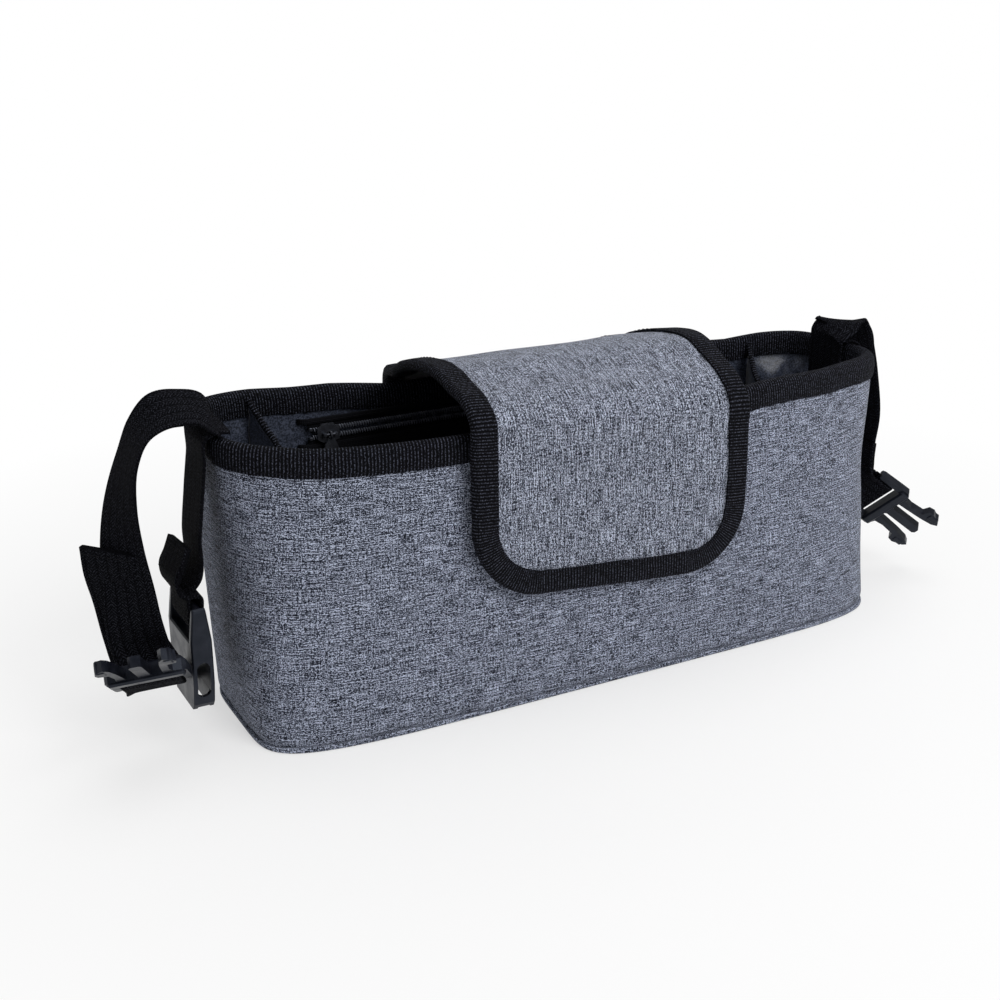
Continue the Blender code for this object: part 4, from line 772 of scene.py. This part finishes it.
def flap_point(across, run, lift):
    """Points of the flap: distance from its middle, distance along its run, and how far out."""
    y = np.interp(run, FLAP_RUN, FLAP_PATH[:, 0])
    z = np.interp(run, FLAP_RUN, FLAP_PATH[:, 1])
    reach = 0.004
    before = np.maximum(run - reach, 0.0)
    after = np.minimum(run + reach, FLAP_LENGTH)
    slope_y = np.interp(after, FLAP_RUN, FLAP_PATH[:, 0]) - np.interp(before, FLAP_RUN, FLAP_PATH[:, 0])
    slope_z = np.interp(after, FLAP_RUN, FLAP_PATH[:, 1]) - np.interp(before, FLAP_RUN, FLAP_PATH[:, 1])
    size = np.hypot(slope_y, slope_z)
    free = faded(run, 0.012, 0.05)
    lift = lift + 0.00055 * free * (FLAP_BODY(across, run) + 0.6)
    crest = faded(run, 0.020, 0.070) * (1.0 - faded(run, 0.085, 0.125))
    raised = 0.0012 * crest * (0.5 - across / FLAP_WIDTH)
    drawn_in = np.where(across < 0.0, 0.15, 0.10)
    narrowed = 1.0 - drawn_in * (1.0 - faded(run, 0.0, 0.070))
    skewed = (0.0120 * across / FLAP_WIDTH - 0.0014) * faded(run, 0.085, 0.155)
    return np.stack([FLAP_CENTRE_X + across * narrowed, y + lift * slope_z / size,
                     z + raised - skewed - lift * slope_y / size], axis=-1)


def flap_layer(name, lift, thickness, inset, material, replaces, puckered):
    """One cloth of the flap, drawn in from its edge by the inset."""
    length = FLAP_LENGTH - inset
    radius = FLAP_CORNER_RADIUS - inset
    straight = np.linspace(0.0, length - radius, 90)
    corner = length - radius * (1.0 - np.sin(np.linspace(0.0, math.pi / 2, 26)[1:]))
    run = np.concatenate([straight, corner])
    into_corner = np.maximum(run - (length - radius), 0.0)
    half = FLAP_WIDTH / 2 - inset - radius + np.sqrt(np.maximum(radius ** 2 - into_corner ** 2, 0.0))
    across = half[:, None] * np.linspace(-1.0, 1.0, 61)[None, :]
    runs = run[:, None] * np.ones(61)[None, :]
    edge = np.exp(-(half[:, None] - np.abs(across)) / 0.008) + np.exp(-(length - runs) / 0.008)
    pucker = waves(63, 0.008, 0.016)
    points = flap_point(across, runs, lift + puckered * 0.00020 * edge * pucker(across, runs))
    uv = np.stack([runs, across], axis=-1)
    piece = dressed(name, grid_mesh(name, points, uv), material, replaces)
    thicken(piece, thickness)
    missing = (2.0 - math.pi / 2) * radius ** 2
    width = 2 * (FLAP_WIDTH / 2 - inset)
    return piece, width, length, width * length - missing


def flap_edge():
    """The flap's edge from the top left, round both lower corners, to the top right."""
    half = FLAP_WIDTH / 2
    radius = FLAP_CORNER_RADIUS
    edge = [(-half, run, -1.0, 0.0) for run in np.linspace(0.0, FLAP_LENGTH - radius, 96)]
    for angle in np.linspace(0.0, math.pi / 2, 30)[1:]:
        edge.append((-half + radius - radius * math.cos(angle), FLAP_LENGTH - radius + radius * math.sin(angle),
                     -math.cos(angle), math.sin(angle)))
    left = np.array(edge)
    bottom = [(x, FLAP_LENGTH, 0.0, 1.0) for x in np.linspace(-half + radius, half - radius, 40)[1:-1]]
    right = left[::-1] * np.array([-1.0, 1.0, -1.0, 1.0])
    return np.concatenate([left, np.array(bottom), right])


def build_flap():
    inset = TAPE_THICKNESS + LAYER_GAP
    top = FLAP_THICKNESS + LAYER_GAP
    under = FLAP_UNDER - LAYER_GAP
    face, width, length, area = flap_layer("flap_cloth", FLAP_THICKNESS / 2, FLAP_THICKNESS, inset, FLAP_MELANGE,
                                           ["flap_outer"], 1.0)
    inner, inner_width, inner_length, inner_area = flap_layer(
        "flap_inner_cloth", FLAP_UNDER / 2 - LAYER_GAP / 2, FLAP_LINING_THICKNESS, inset, FLAP_LINING,
        ["flap_lining"], 0.3)
    edge = flap_edge()
    run = np.concatenate([[0.0], np.cumsum(np.linalg.norm(np.diff(edge[:, :2], axis=0), axis=1))])
    pucker = waves(65, 0.006, 0.013)
    drift = waves(66, 0.03, 0.07)
    turn = np.linspace(math.pi / 2, -math.pi / 2, 9)
    middle = (top + under) / 2
    height = (top - under) / 2 + TAPE_THICKNESS
    section = [(-TAPE_WIDTH, top + 0.0001)]
    section += [(-TAPE_WIDTH * share, top + TAPE_THICKNESS + 0.00025 * math.sin(math.pi * share))
                for share in (1.0, 0.985, 0.85, 0.7, 0.5, 0.3, 0.15)]
    section += [(height * 0.9 * (math.cos(angle) - 1.0), middle + height * math.sin(angle)) for angle in turn]
    section += [(-TAPE_WIDTH * share, under - TAPE_THICKNESS - 0.00025 * math.sin(math.pi * share))
                for share in (0.3, 0.5, 0.7, 0.85, 1.0)]
    section += [(-TAPE_WIDTH, under - 0.0001), (-TAPE_THICKNESS * 1.6, under), (-TAPE_THICKNESS * 1.6, top)]
    rings = []
    for k, (across, reach, out_across, out_run) in enumerate(edge):
        ring = []
        for out, lift in section:
            share = min(1.0, -out / TAPE_WIDTH)
            shift = 0.00035 * float(drift(run[k], 0.0)) * share
            soft = 0.00012 * float(pucker(run[k], out)) * share
            ring.append((across + out_across * (out + shift), reach + out_run * (out + shift),
                         lift + (soft if lift > middle else -soft)))
        rings.append(ring)
    rings = np.array(rings)
    points = flap_point(rings[:, :, 0], rings[:, :, 1], rings[:, :, 2])
    path = np.array(section + [section[0]])
    climb = np.concatenate([[0.0], np.cumsum(np.linalg.norm(np.diff(path, axis=0), axis=1))])
    uv = np.stack(np.meshgrid(climb, run), axis=-1)[:, :, ::-1]
    tape = dressed("flap_tape", grid_mesh("flap_tape", points, uv, False, True, True), GROSGRAIN,
                   ["flap_binding"])
    seam = -TAPE_WIDTH + 0.0017
    for name, lift, facing in (("flap_stitches_top", top + TAPE_THICKNESS + 0.00025, 1.0),
                               ("flap_stitches_under", under - TAPE_THICKNESS - 0.00025, -1.0)):
        line = flap_point(edge[:, 0] + edge[:, 2] * seam, edge[:, 1] + edge[:, 3] * seam, lift)
        above = flap_point(edge[:, 0] + edge[:, 2] * seam, edge[:, 1] + edge[:, 3] * seam, lift + 0.001)
        spots, tangents = spaced(line, STITCH_PITCH)
        over, _ = spaced(above, STITCH_PITCH)
        count = min(len(spots), len(over))
        normals = unit(over[:count] - spots[:count])
        normals = unit(normals - tangents[:count] * np.sum(normals * tangents[:count], axis=1)[:, None])
        stitch_row(name, spots[:count], tangents[:count], normals * facing)
    for number, seam_run in enumerate((0.0030, 0.0075)):
        x = np.linspace(-FLAP_WIDTH / 2 + TAPE_WIDTH + 0.001, FLAP_WIDTH / 2 - TAPE_WIDTH - 0.001, 90)
        seam_runs = np.full(90, seam_run)
        line = flap_point(x, seam_runs, FLAP_THICKNESS + 0.00012)
        above = flap_point(x, seam_runs, FLAP_THICKNESS + 0.00112)
        spots, tangents = spaced(line, STITCH_PITCH)
        over, _ = spaced(above, STITCH_PITCH)
        stitch_row(f"flap_seam_stitches_{number + 1}", spots, tangents, unit(over - spots))
    patch_run = FLAP_LENGTH - (PATCH_Z - FLAP_BOTTOM_Z)
    place = flap_point(np.array(0.0), np.array(patch_run), FLAP_UNDER - LAYER_GAP - PATCH_THICKNESS / 2)
    fastener_patch("hook_patch", float(place[1]), -1.0, ["flap_hook_patch"])
    low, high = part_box("front_loop_patch")
    fastener_patch("loop_patch", (low.y + high.y) / 2, 1.0, ["front_loop_patch"])


def fastener_patch(name, y, facing, replaces):
    """A hook or loop patch: a thin plate whose face is a field of small tufts."""
    columns, rows = 100, 36
    x = FLAP_CENTRE_X + PATCH_WIDTH * np.linspace(-0.5, 0.5, columns)
    z = PATCH_Z + PATCH_HEIGHT * np.linspace(-0.5, 0.5, rows)
    xs, zs = np.meshgrid(x, z)
    chance = np.random.default_rng(71 if facing > 0 else 72)
    tuft = chance.uniform(-0.5, 0.5, xs.shape) * 0.00025
    tuft[0], tuft[-1], tuft[:, 0], tuft[:, -1] = 0.0, 0.0, 0.0, 0.0
    points = np.stack([xs, y - facing * tuft, zs], axis=-1)
    uv = np.stack([xs, zs], axis=-1)
    patch = dressed(name, grid_mesh(name, points, uv), HOOK_AND_LOOP, replaces, angle=180.0)
    thicken(patch, PATCH_THICKNESS)


# Zip pocket

def lining_y(x, z):
    ring = tub_ring(z, LINING_INNER)
    behind = ring[ring[:, 1] > 0.0]
    order = np.argsort(behind[:, 0])
    return float(np.interp(x, behind[order, 0], behind[order, 1]))


SLIDER_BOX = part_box("zip_slider")
ZIP_FACE_Y = 0.04811
ZIP_LEAN = math.asin(0.0357)
TAPE_LIFT = LAYER_GAP + SLIDER_PLATE + LAYER_GAP
TEETH_LIFT = TAPE_LIFT + ZIP_TAPE_THICKNESS + LAYER_GAP
ZIP_PLACE = Matrix.Translation((0.0, ZIP_FACE_Y, ZIP_Z)) @ Matrix.Rotation(-ZIP_LEAN, 4, "X")
UP_EDGE = (POCKET_TOP_Z - ZIP_Z) / math.cos(ZIP_LEAN)
DOWN_EDGE = (POCKET_BOTTOM_Z - ZIP_Z) / math.cos(ZIP_LEAN)
PANEL_LIFT = TAPE_LIFT + ZIP_TAPE_THICKNESS + LAYER_GAP + LINING_THICKNESS / 2
PANEL_EDGE = 0.0049


def zip_points(x, up, lift):
    """Points of the zip's plane: along it, up it, and lifted from the back wall towards the front."""
    turn = np.array(ZIP_PLACE.to_3x3())
    local = np.stack([x + 0.0 * up, -lift + 0.0 * up + 0.0 * x, up + 0.0 * x], axis=-1)
    return local @ turn.T + np.array(ZIP_PLACE.translation)


def zip_panel(name, low, high, shape, rows, material, replaces, thickness, half):
    """A cloth of the pocket between two heights, with its lift given by a function of place."""
    x, up = np.meshgrid(np.linspace(-half, half, 120), np.linspace(low, high, rows))
    points = zip_points(x, up, shape(x, up))
    uv = np.stack([x, up], axis=-1)
    piece = dressed(name, grid_mesh(name, points, uv), material, replaces)
    thicken(piece, thickness)
    return piece


def build_pocket():
    half = POCKET_HALF_LENGTH
    slack = waves(81, 0.020, 0.060)

    def panel_shape(x, up):
        side = faded(half - np.abs(x), 0.0, 0.0038)
        foot = faded(up, DOWN_EDGE, DOWN_EDGE + 0.010)
        middle = np.sin(math.pi * np.clip((up - DOWN_EDGE) / (-PANEL_EDGE - DOWN_EDGE), 0.0, 1.0))
        puff = 0.0010 * middle * (slack(x, up) + 1.0)
        return LINING_THICKNESS / 2 + (PANEL_LIFT - LINING_THICKNESS / 2) * side * foot + puff * side

    def strip_shape(x, up):
        side = faded(half - np.abs(x), 0.0, 0.0038)
        return LINING_THICKNESS / 2 + (PANEL_LIFT - LINING_THICKNESS / 2) * side

    def tape_shape(x, up):
        return TAPE_LIFT + ZIP_TAPE_THICKNESS / 2 + 0.0 * x

    pocket = zip_panel("pocket_cloth", DOWN_EDGE, -PANEL_EDGE, panel_shape, 60, POCKET,
                       ["pocket_panel"], LINING_THICKNESS, half)
    strip = zip_panel("pocket_strip_cloth", PANEL_EDGE, UP_EDGE, strip_shape, 6, POCKET,
                      ["pocket_top_strip"], LINING_THICKNESS, half)
    start = 0.0019
    reach = CHAIN_HALF_LENGTH + 0.002
    zip_panel("zip_cloth_upper", start, UP_EDGE - 0.0002, tape_shape, 5, POCKET, ["zip_tape_upper"],
              ZIP_TAPE_THICKNESS, reach)
    zip_panel("zip_cloth_lower", -PANEL_EDGE - 0.003, -start, tape_shape, 5, POCKET,
              ["zip_tape_lower"], ZIP_TAPE_THICKNESS, reach)
    turn = np.array(ZIP_PLACE.to_3x3())
    lines = (("pocket_stitches_below", -PANEL_EDGE - 0.0013), ("pocket_stitches_above", PANEL_EDGE + 0.0010))
    for name, up in lines:
        x = np.linspace(-half + 0.006, half - 0.006, 80)
        line = zip_points(x, np.full(80, up), PANEL_LIFT + LINING_THICKNESS / 2 + 0.0001)
        spots, tangents = spaced(line, STITCH_PITCH)
        normals = np.tile(turn @ np.array([0.0, -1.0, 0.0]), (len(spots), 1))
        stitch_row(name, spots, tangents, normals)
    return strip


def build_coil(name, side, replaces):
    """One side of the coil zip: a flattened helix of nylon wire."""
    turns = int(2 * CHAIN_HALF_LENGTH / COIL_PITCH)
    per_turn = 12
    count = turns * per_turn
    angle = 2.0 * math.pi * np.arange(count + 1) / per_turn
    x = -CHAIN_HALF_LENGTH + COIL_PITCH * angle / (2.0 * math.pi)
    x = x + (COIL_PITCH / 2 if side > 0 else 0.0) - COIL_PITCH / 4
    x = np.clip(x, -CHAIN_HALF_LENGTH, CHAIN_HALF_LENGTH)
    centre = side * (COIL_NEAR + COIL_FAR) / 2
    half = (COIL_FAR - COIL_NEAR) / 2 - COIL_WIRE
    up = centre + half * np.cos(angle)
    depth = TOOTH_THICKNESS / 2 - COIL_WIRE - 0.00002
    lift = TEETH_LIFT + TOOTH_THICKNESS / 2 + depth * np.sin(angle)
    line = zip_points(x, up, lift)
    tangents = unit(np.gradient(line, axis=0))
    along = np.array([1.0, 0.0, 0.0])
    out = unit(np.cross(tangents, along))
    other = np.cross(tangents, out)
    turn = 2.0 * math.pi * np.arange(6) / 6
    rings = (line[:, None, :] + out[:, None, :] * (COIL_WIRE * np.cos(turn))[None, :, None]
             + other[:, None, :] * (COIL_WIRE * np.sin(turn))[None, :, None])
    uv = np.stack(np.meshgrid(np.linspace(0.0, 0.002, 7), np.arange(count + 1) * 0.0004), axis=-1)
    return dressed(name, grid_mesh(name, rings, uv, False, True, True), COIL_WITH_PAINTED_HIGHLIGHT, replaces)


# Straps, along the same routes as in the frame's source

TUB_END_X = max(RIM_LENGTH, BASE_LENGTH) / 2
TO_FRONT = (0.0, -1.0, 0.0)


def at_end(side, out, y, below):
    return (side * (TUB_END_X + out), y, HEIGHT - below)


def seam_x(side, y, z):
    """Where a strap lies against the inside of the rim's end, clear of it over the strap's whole width."""
    ring = tub_ring(z, TAPE_INSIDE + LAYER_GAP + WEBBING_THICKNESS / 2)
    end = ring[side * ring[:, 0] > 0.0]
    end = end[np.argsort(end[:, 1])]
    edges = [y - WEBBING_WIDTH / 2 - LAYER_GAP, y + WEBBING_WIDTH / 2 + LAYER_GAP]
    return side * float(np.min(np.interp(edges, end[:, 1], np.abs(end[:, 0]))))


def buckle_place(turning_bar, down, across):
    up = -Vector(down).normalized()
    bar = Vector(across)
    bar = (bar - up * bar.dot(up)).normalized()
    through = up.cross(bar)
    turn = Matrix((bar, through, up)).transposed()
    return Matrix.Translation(turning_bar) @ turn.to_4x4()


def turn_round_bar(place, back_side):
    past_ladder = ARM_END + 2 * WEBBING_THICKNESS
    stops = [(back_side * BAR_CLEAR, past_ladder), (back_side * BAR_CLEAR, past_ladder / 2)]
    for step in range(7):
        angle = math.pi * step / 6
        stops.append((back_side * BAR_CLEAR * math.cos(angle), -BAR_CLEAR * math.sin(angle)))
    stops += [(-back_side * BAR_CLEAR, past_ladder / 2), (-back_side * BAR_CLEAR, past_ladder)]
    across = place.to_3x3() @ Vector((1.0, 0.0, 0.0))
    return [(tuple(place @ Vector((0.0, y, z))), tuple(across)) for y, z in stops]


def over_rim(side, y):
    end_x = side * TUB_END_X
    above = -(LAYER_GAP + WEBBING_THICKNESS / 2) - float(rim_lift(end_x, y))
    reach = WEBBING_WIDTH / 2
    slope = float(rim_lift(end_x, y + reach) - rim_lift(end_x, y - reach)) / WEBBING_WIDTH
    level = (0.0, -1.0, -slope)
    start = abs(seam_x(side, y, HEIGHT)) + WEBBING_THICKNESS + LAYER_GAP - TUB_END_X
    return [(at_end(side, start, y, above), level), (at_end(side, 0.0, y, above), level),
            (at_end(side, 0.0037, y - 0.0005, above + 0.0022), level),
            (at_end(side, 0.0050, y - 0.0010, 0.0070), TO_FRONT)]


def inside_rim(side, y):
    foot_z = HEIGHT - SEAM_LENGTH
    inside_x = side * min(abs(seam_x(side, y, foot_z)), abs(seam_x(side, y, HEIGHT)))
    return [((inside_x, y, foot_z), TO_FRONT), ((inside_x, y, HEIGHT), TO_FRONT),
            ((inside_x, y, HEIGHT + 2 * WEBBING_THICKNESS), TO_FRONT)]


def strap(name, route, replaces):
    """A webbing strap swept along its middle line, its free end folded back and sewn into a hem."""
    smooth = spline_through([(*stop, *across) for stop, across in route], 8)
    middle = smooth[:, :3]
    tangents = unit(np.gradient(middle, axis=0))
    across = smooth[:, 3:]
    across = unit(across - tangents * np.sum(across * tangents, axis=1)[:, None])
    facing = np.cross(across, tangents)
    run = np.concatenate([[0.0], np.cumsum(np.linalg.norm(np.diff(middle, axis=0), axis=1))])
    hem = faded(run, run[-1] - HEM_LENGTH - 0.0006, run[-1] - HEM_LENGTH)
    half, thick = WEBBING_WIDTH / 2, WEBBING_THICKNESS / 2
    profile = [(-half, 0.0), (-half + 0.0003, 0.7), (-half + 0.0010, 1.0), (-half * 0.5, 0.94), (0.0, 0.94),
               (half * 0.5, 0.94), (half - 0.0010, 1.0), (half - 0.0003, 0.7), (half, 0.0)]
    lower = [(x, -share) for x, share in profile[1:-1]][::-1]
    rings = []
    for side, share in profile + lower:
        extra = hem * WEBBING_THICKNESS * 0.85 * (1.0 if share < 0.0 else 0.0)
        rings.append(middle + across * side + facing * (share * thick - extra)[:, None])
    points = np.stack(rings, axis=1)
    wide = np.array([side for side, share in profile] + [half * 2 + 0.0015 + (half - side) for side, share in lower]
                    + [4 * half + 0.003])
    uv = np.stack(np.meshgrid(wide, run), axis=-1)
    piece = dressed(name, grid_mesh(name, points, uv, False, True, True), WEBBING, replaces)
    rows = []
    for back, label in ((0.0025, "end"), (HEM_LENGTH - 0.0025, "hem")):
        spot = np.stack([np.interp(run[-1] - back, run, middle[:, k]) for k in range(3)])
        side = across[-3]
        count = 8
        reach = np.linspace(-half + 0.0025, half - 0.0025, count)
        for sign, face in ((1.0, "face"), (-1.0, "back")):
            out = thick + 0.0001 if sign > 0 else thick + WEBBING_THICKNESS * 0.85 + 0.0001
            spots = spot + side * reach[:, None] + facing[-3] * sign * out
            tangent = np.tile(side, (count, 1))
            normal = np.tile(facing[-3] * sign, (count, 1))
            rows.append(stitch_row(f"{name}_{label}_stitches_{face}", spots, tangent, normal))
    for row in rows:
        row.parent = piece
    return piece


def build_straps():
    left_female = buckle_place(at_end(-1, 0.0165, -0.0085, 0.0722), (0.0, 0.0, -1.0), TO_FRONT)
    route = over_rim(-1, 0.0035)
    route += [(at_end(-1, 0.0080, -0.0010, 0.0210), TO_FRONT), (at_end(-1, 0.0112, -0.0045, 0.0370), TO_FRONT),
              (at_end(-1, 0.0133, -0.0075, 0.0530), TO_FRONT)]
    route += turn_round_bar(left_female, -1.0)
    route += [(at_end(-1, 0.0220, -0.0085, 0.0590), TO_FRONT), (at_end(-1, 0.0235, -0.0080, 0.0520), TO_FRONT),
              (at_end(-1, 0.0205, -0.0075, 0.0455), TO_FRONT), (at_end(-1, 0.0180, -0.0070, 0.0395), TO_FRONT)]
    strap("left_short_webbing", route, ["left_short_strap"])

    lower = (0.88, -0.41, 0.21)
    left_male = buckle_place(at_end(-1, 0.0395, -0.0270, 0.0880), (-0.35, -0.72, 0.60), lower)
    route = [(at_end(-1, -0.0036, 0.0020, 0.0100), TO_FRONT), (at_end(-1, -0.0036, 0.0020, 0.0), TO_FRONT),
             (at_end(-1, -0.0030, 0.0018, -0.0065), (-0.12, -0.96, -0.25)),
             (at_end(-1, -0.0004, 0.0012, -0.0112), (-0.22, -0.91, -0.34))]
    route += [
              (at_end(-1, 0.0090, -0.0005, -0.0158), (0.0, -0.93, -0.36)),
              (at_end(-1, 0.0195, -0.0025, -0.0160), (0.0, -0.93, -0.36)),
              (at_end(-1, 0.0290, -0.0040, -0.0100), (0.0, -0.98, -0.15)),
              (at_end(-1, 0.0360, -0.0060, 0.0020), (0.08, -0.99, 0.05)),
              (at_end(-1, 0.0409, -0.0090, 0.0192), (0.28, -0.96, 0.04)),
              (at_end(-1, 0.0425, -0.0120, 0.0364), (0.50, -0.86, 0.04)),
              (at_end(-1, 0.0418, -0.0140, 0.0530), (0.66, -0.74, 0.06)),
              (at_end(-1, 0.0410, -0.0140, 0.0700), (0.82, -0.55, 0.12)),
              (at_end(-1, 0.0385, -0.0115, 0.0830), lower)]
    route += turn_round_bar(left_male, -1.0)
    route += [(at_end(-1, 0.0345, -0.0085, 0.0990), lower), (at_end(-1, 0.0370, -0.0050, 0.0930), lower),
              (at_end(-1, 0.0400, -0.0045, 0.0810), (0.84, -0.50, 0.16)),
              (at_end(-1, 0.0440, -0.0060, 0.0620), (0.76, -0.64, 0.10)),
              (at_end(-1, 0.0475, -0.0085, 0.0480), (0.70, -0.70, 0.08)),
              (at_end(-1, 0.0485, -0.0100, 0.0370), (0.68, -0.72, 0.08))]
    strap("left_long_webbing", route, ["left_long_strap"])

    right_female = buckle_place(at_end(1, 0.0155, 0.0290, 0.0730), (0.0, 0.0, -1.0), TO_FRONT)
    route = over_rim(1, 0.0120)
    route += [(at_end(1, 0.0068, 0.0160, 0.0210), TO_FRONT), (at_end(1, 0.0085, 0.0215, 0.0370), TO_FRONT),
              (at_end(1, 0.0115, 0.0270, 0.0530), TO_FRONT)]
    route += turn_round_bar(right_female, -1.0)
    route += [(at_end(1, 0.0200, 0.0290, 0.0560), TO_FRONT), (at_end(1, 0.0208, 0.0285, 0.0480), TO_FRONT),
              (at_end(1, 0.0190, 0.0280, 0.0400), TO_FRONT)]
    strap("right_short_webbing", route, ["right_short_strap"])

    right_male = buckle_place(at_end(1, 0.0185, -0.0060, 0.0870), (0.70, -0.35, -0.60), (0.10, -0.62, 0.78))
    route = inside_rim(1, 0.0120)
    route += [(at_end(1, -0.0044, 0.0106, -0.0062), (0.45, -0.89, 0.0)),
              (at_end(1, 0.0002, 0.0122, -0.0086), (0.66, -0.75, 0.0)),
              (at_end(1, 0.0056, 0.0148, -0.0070), (0.68, -0.73, 0.0)),
              (at_end(1, 0.0098, 0.0142, -0.0010), (0.52, -0.85, 0.0)),
              (at_end(1, 0.0106, 0.0100, 0.0080), (0.30, -0.95, 0.0)),
              (at_end(1, 0.0108, 0.0040, 0.0200), (0.10, -0.99, 0.0)),
              (at_end(1, 0.0110, -0.0008, 0.0400), (0.02, -0.97, 0.20)),
              (at_end(1, 0.0092, -0.0012, 0.0600), (0.0, -0.88, 0.48)),
              (at_end(1, 0.0096, 0.0008, 0.0710), (0.15, -0.75, 0.62))]
    route += turn_round_bar(right_male, 1.0)
    route += [(at_end(1, 0.0062, -0.0030, 0.0740), (0.20, -0.75, 0.60)),
              (at_end(1, 0.0066, -0.0025, 0.0650), (0.10, -0.90, 0.40)),
              (at_end(1, 0.0080, -0.0020, 0.0540), TO_FRONT)]
    strap("right_long_webbing", route, ["right_long_strap"])


# Nodes that keep the frame's own shape

def finish_rigid_nodes():
    """Gives the rigid nodes their finish and softens their edges."""
    finishes = {
        PLASTIC: (["left_female_buckle", "right_female_buckle", "left_male_buckle", "right_male_buckle"], 0.00045),
        ENAMEL_WITH_PAINTED_HIGHLIGHT: (["zip_slider", "zip_pull", "zip_top_stop_upper", "zip_top_stop_lower", "zip_bottom_stop"], 0.00022),
        BOARD: (["base_board"], 0.0002),
    }
    for material, (names, width) in finishes.items():
        for name in names:
            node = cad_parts[name]
            node.data.materials.clear()
            node.data.materials.append(material)
            edges = node.modifiers.new("soft_edges", "BEVEL")
            edges.width = width
            edges.segments = 3
            edges.limit_method = "ANGLE"
            edges.angle_limit = math.radians(32)
            edges.use_clamp_overlap = True
            edges.harden_normals = False


# Studio

def add_studio():
    """A white floor and surroundings, soft light from above and from the front, and the camera."""
    world = bpy.data.worlds.new("studio")
    world.use_nodes = True
    bpy.context.scene.world = world
    tree = world.node_tree
    background = tree.nodes["Background"]
    path = tree.nodes.new("ShaderNodeLightPath")
    seen = tree.nodes.new("ShaderNodeMath")
    seen.operation = "MAXIMUM"
    tree.links.new(path.outputs["Is Camera Ray"], seen.inputs[0])
    tree.links.new(path.outputs["Is Transmission Ray"], seen.inputs[1])
    strength = tree.nodes.new("ShaderNodeMapRange")
    strength.inputs["To Min"].default_value = 0.32
    strength.inputs["To Max"].default_value = 1.0
    tree.links.new(seen.outputs[0], strength.inputs["Value"])
    background.inputs["Color"].default_value = (1.0, 1.0, 1.0, 1.0)
    tree.links.new(strength.outputs["Result"], background.inputs["Strength"])

    floor_mesh = bpy.data.meshes.new("floor")
    work = bmesh.new()
    bmesh.ops.create_grid(work, x_segments=4, y_segments=4, size=6.0)
    work.to_mesh(floor_mesh)
    work.free()
    floor = bpy.data.objects.new("floor", floor_mesh)
    floor.location = (0.0, 0.0, -0.0002)
    bpy.context.scene.collection.objects.link(floor)
    paint = bpy.data.materials.new("floor_white")
    paint.use_nodes = True
    tree = paint.node_tree
    shader = tree.nodes["Principled BSDF"]
    shader.inputs["Base Color"].default_value = (0.93, 0.93, 0.93, 1.0)
    shader.inputs["Roughness"].default_value = 0.9
    shader.inputs["Specular IOR Level"].default_value = 0.1
    path = tree.nodes.new("ShaderNodeLightPath")
    seen = tree.nodes.new("ShaderNodeMath")
    seen.operation = "MAXIMUM"
    tree.links.new(path.outputs["Is Camera Ray"], seen.inputs[0])
    tree.links.new(path.outputs["Is Glossy Ray"], seen.inputs[1])
    place = tree.nodes.new("ShaderNodeTexCoord")
    reach = tree.nodes.new("ShaderNodeVectorMath")
    reach.operation = "LENGTH"
    tree.links.new(place.outputs["Object"], reach.inputs[0])
    distance = tree.nodes.new("ShaderNodeMapRange")
    for key, value in (("From Min", 0.17), ("From Max", 0.46), ("To Min", 0.55), ("To Max", 1.0)):
        distance.inputs[key].default_value = value
    tree.links.new(reach.outputs["Value"], distance.inputs["Value"])
    share = tree.nodes.new("ShaderNodeMath")
    share.operation = "MULTIPLY"
    tree.links.new(distance.outputs["Result"], share.inputs[0])
    tree.links.new(seen.outputs[0], share.inputs[1])
    glow = tree.nodes.new("ShaderNodeEmission")
    glow.inputs["Strength"].default_value = 1.0
    both = tree.nodes.new("ShaderNodeMixShader")
    tree.links.new(share.outputs[0], both.inputs[0])
    tree.links.new(shader.outputs[0], both.inputs[1])
    tree.links.new(glow.outputs[0], both.inputs[2])
    tree.links.new(both.outputs[0], tree.nodes["Material Output"].inputs["Surface"])
    floor_mesh.materials.append(paint)

    lamps = {"key": ((0.35, -1.15, 1.10), 0.8, 13.0), "top": ((0.1, 0.1, 1.5), 1.0, 7.0),
             "right_back": ((1.2, 0.9, 1.0), 0.9, 3.5)}
    for name, (place, size, power) in lamps.items():
        light = bpy.data.lights.new(name, "AREA")
        light.size = size
        light.energy = power
        lamp = bpy.data.objects.new(name, light)
        lamp.location = place
        aim = Vector((0.0, 0.0, 0.06)) - Vector(place)
        lamp.rotation_euler = aim.to_track_quat("-Z", "Y").to_euler()
        bpy.context.scene.collection.objects.link(lamp)

    data = bpy.data.cameras.new("camera")
    data.sensor_width = 36.0
    data.lens = CAMERA_LENS
    camera = bpy.data.objects.new("camera", data)
    camera.location = CAMERA_PLACE
    camera.rotation_euler = (math.radians(90.0 - CAMERA_ELEVATION), 0.0, math.radians(CAMERA_AZIMUTH))
    bpy.context.scene.collection.objects.link(camera)
    bpy.context.scene.camera = camera
    bpy.context.scene.view_settings.view_transform = "Standard"


add_studio()
build_wall()
build_rim_tape()
build_lining()
build_floor_layers()
build_divider(-1, "left_divider")
build_divider(1, "right_divider")
build_flap()
build_pocket()
build_coil("zip_coil_upper", 1, ["zip_teeth_upper"])
build_coil("zip_coil_lower", -1, ["zip_teeth_lower"])
build_straps()
finish_rigid_nodes()
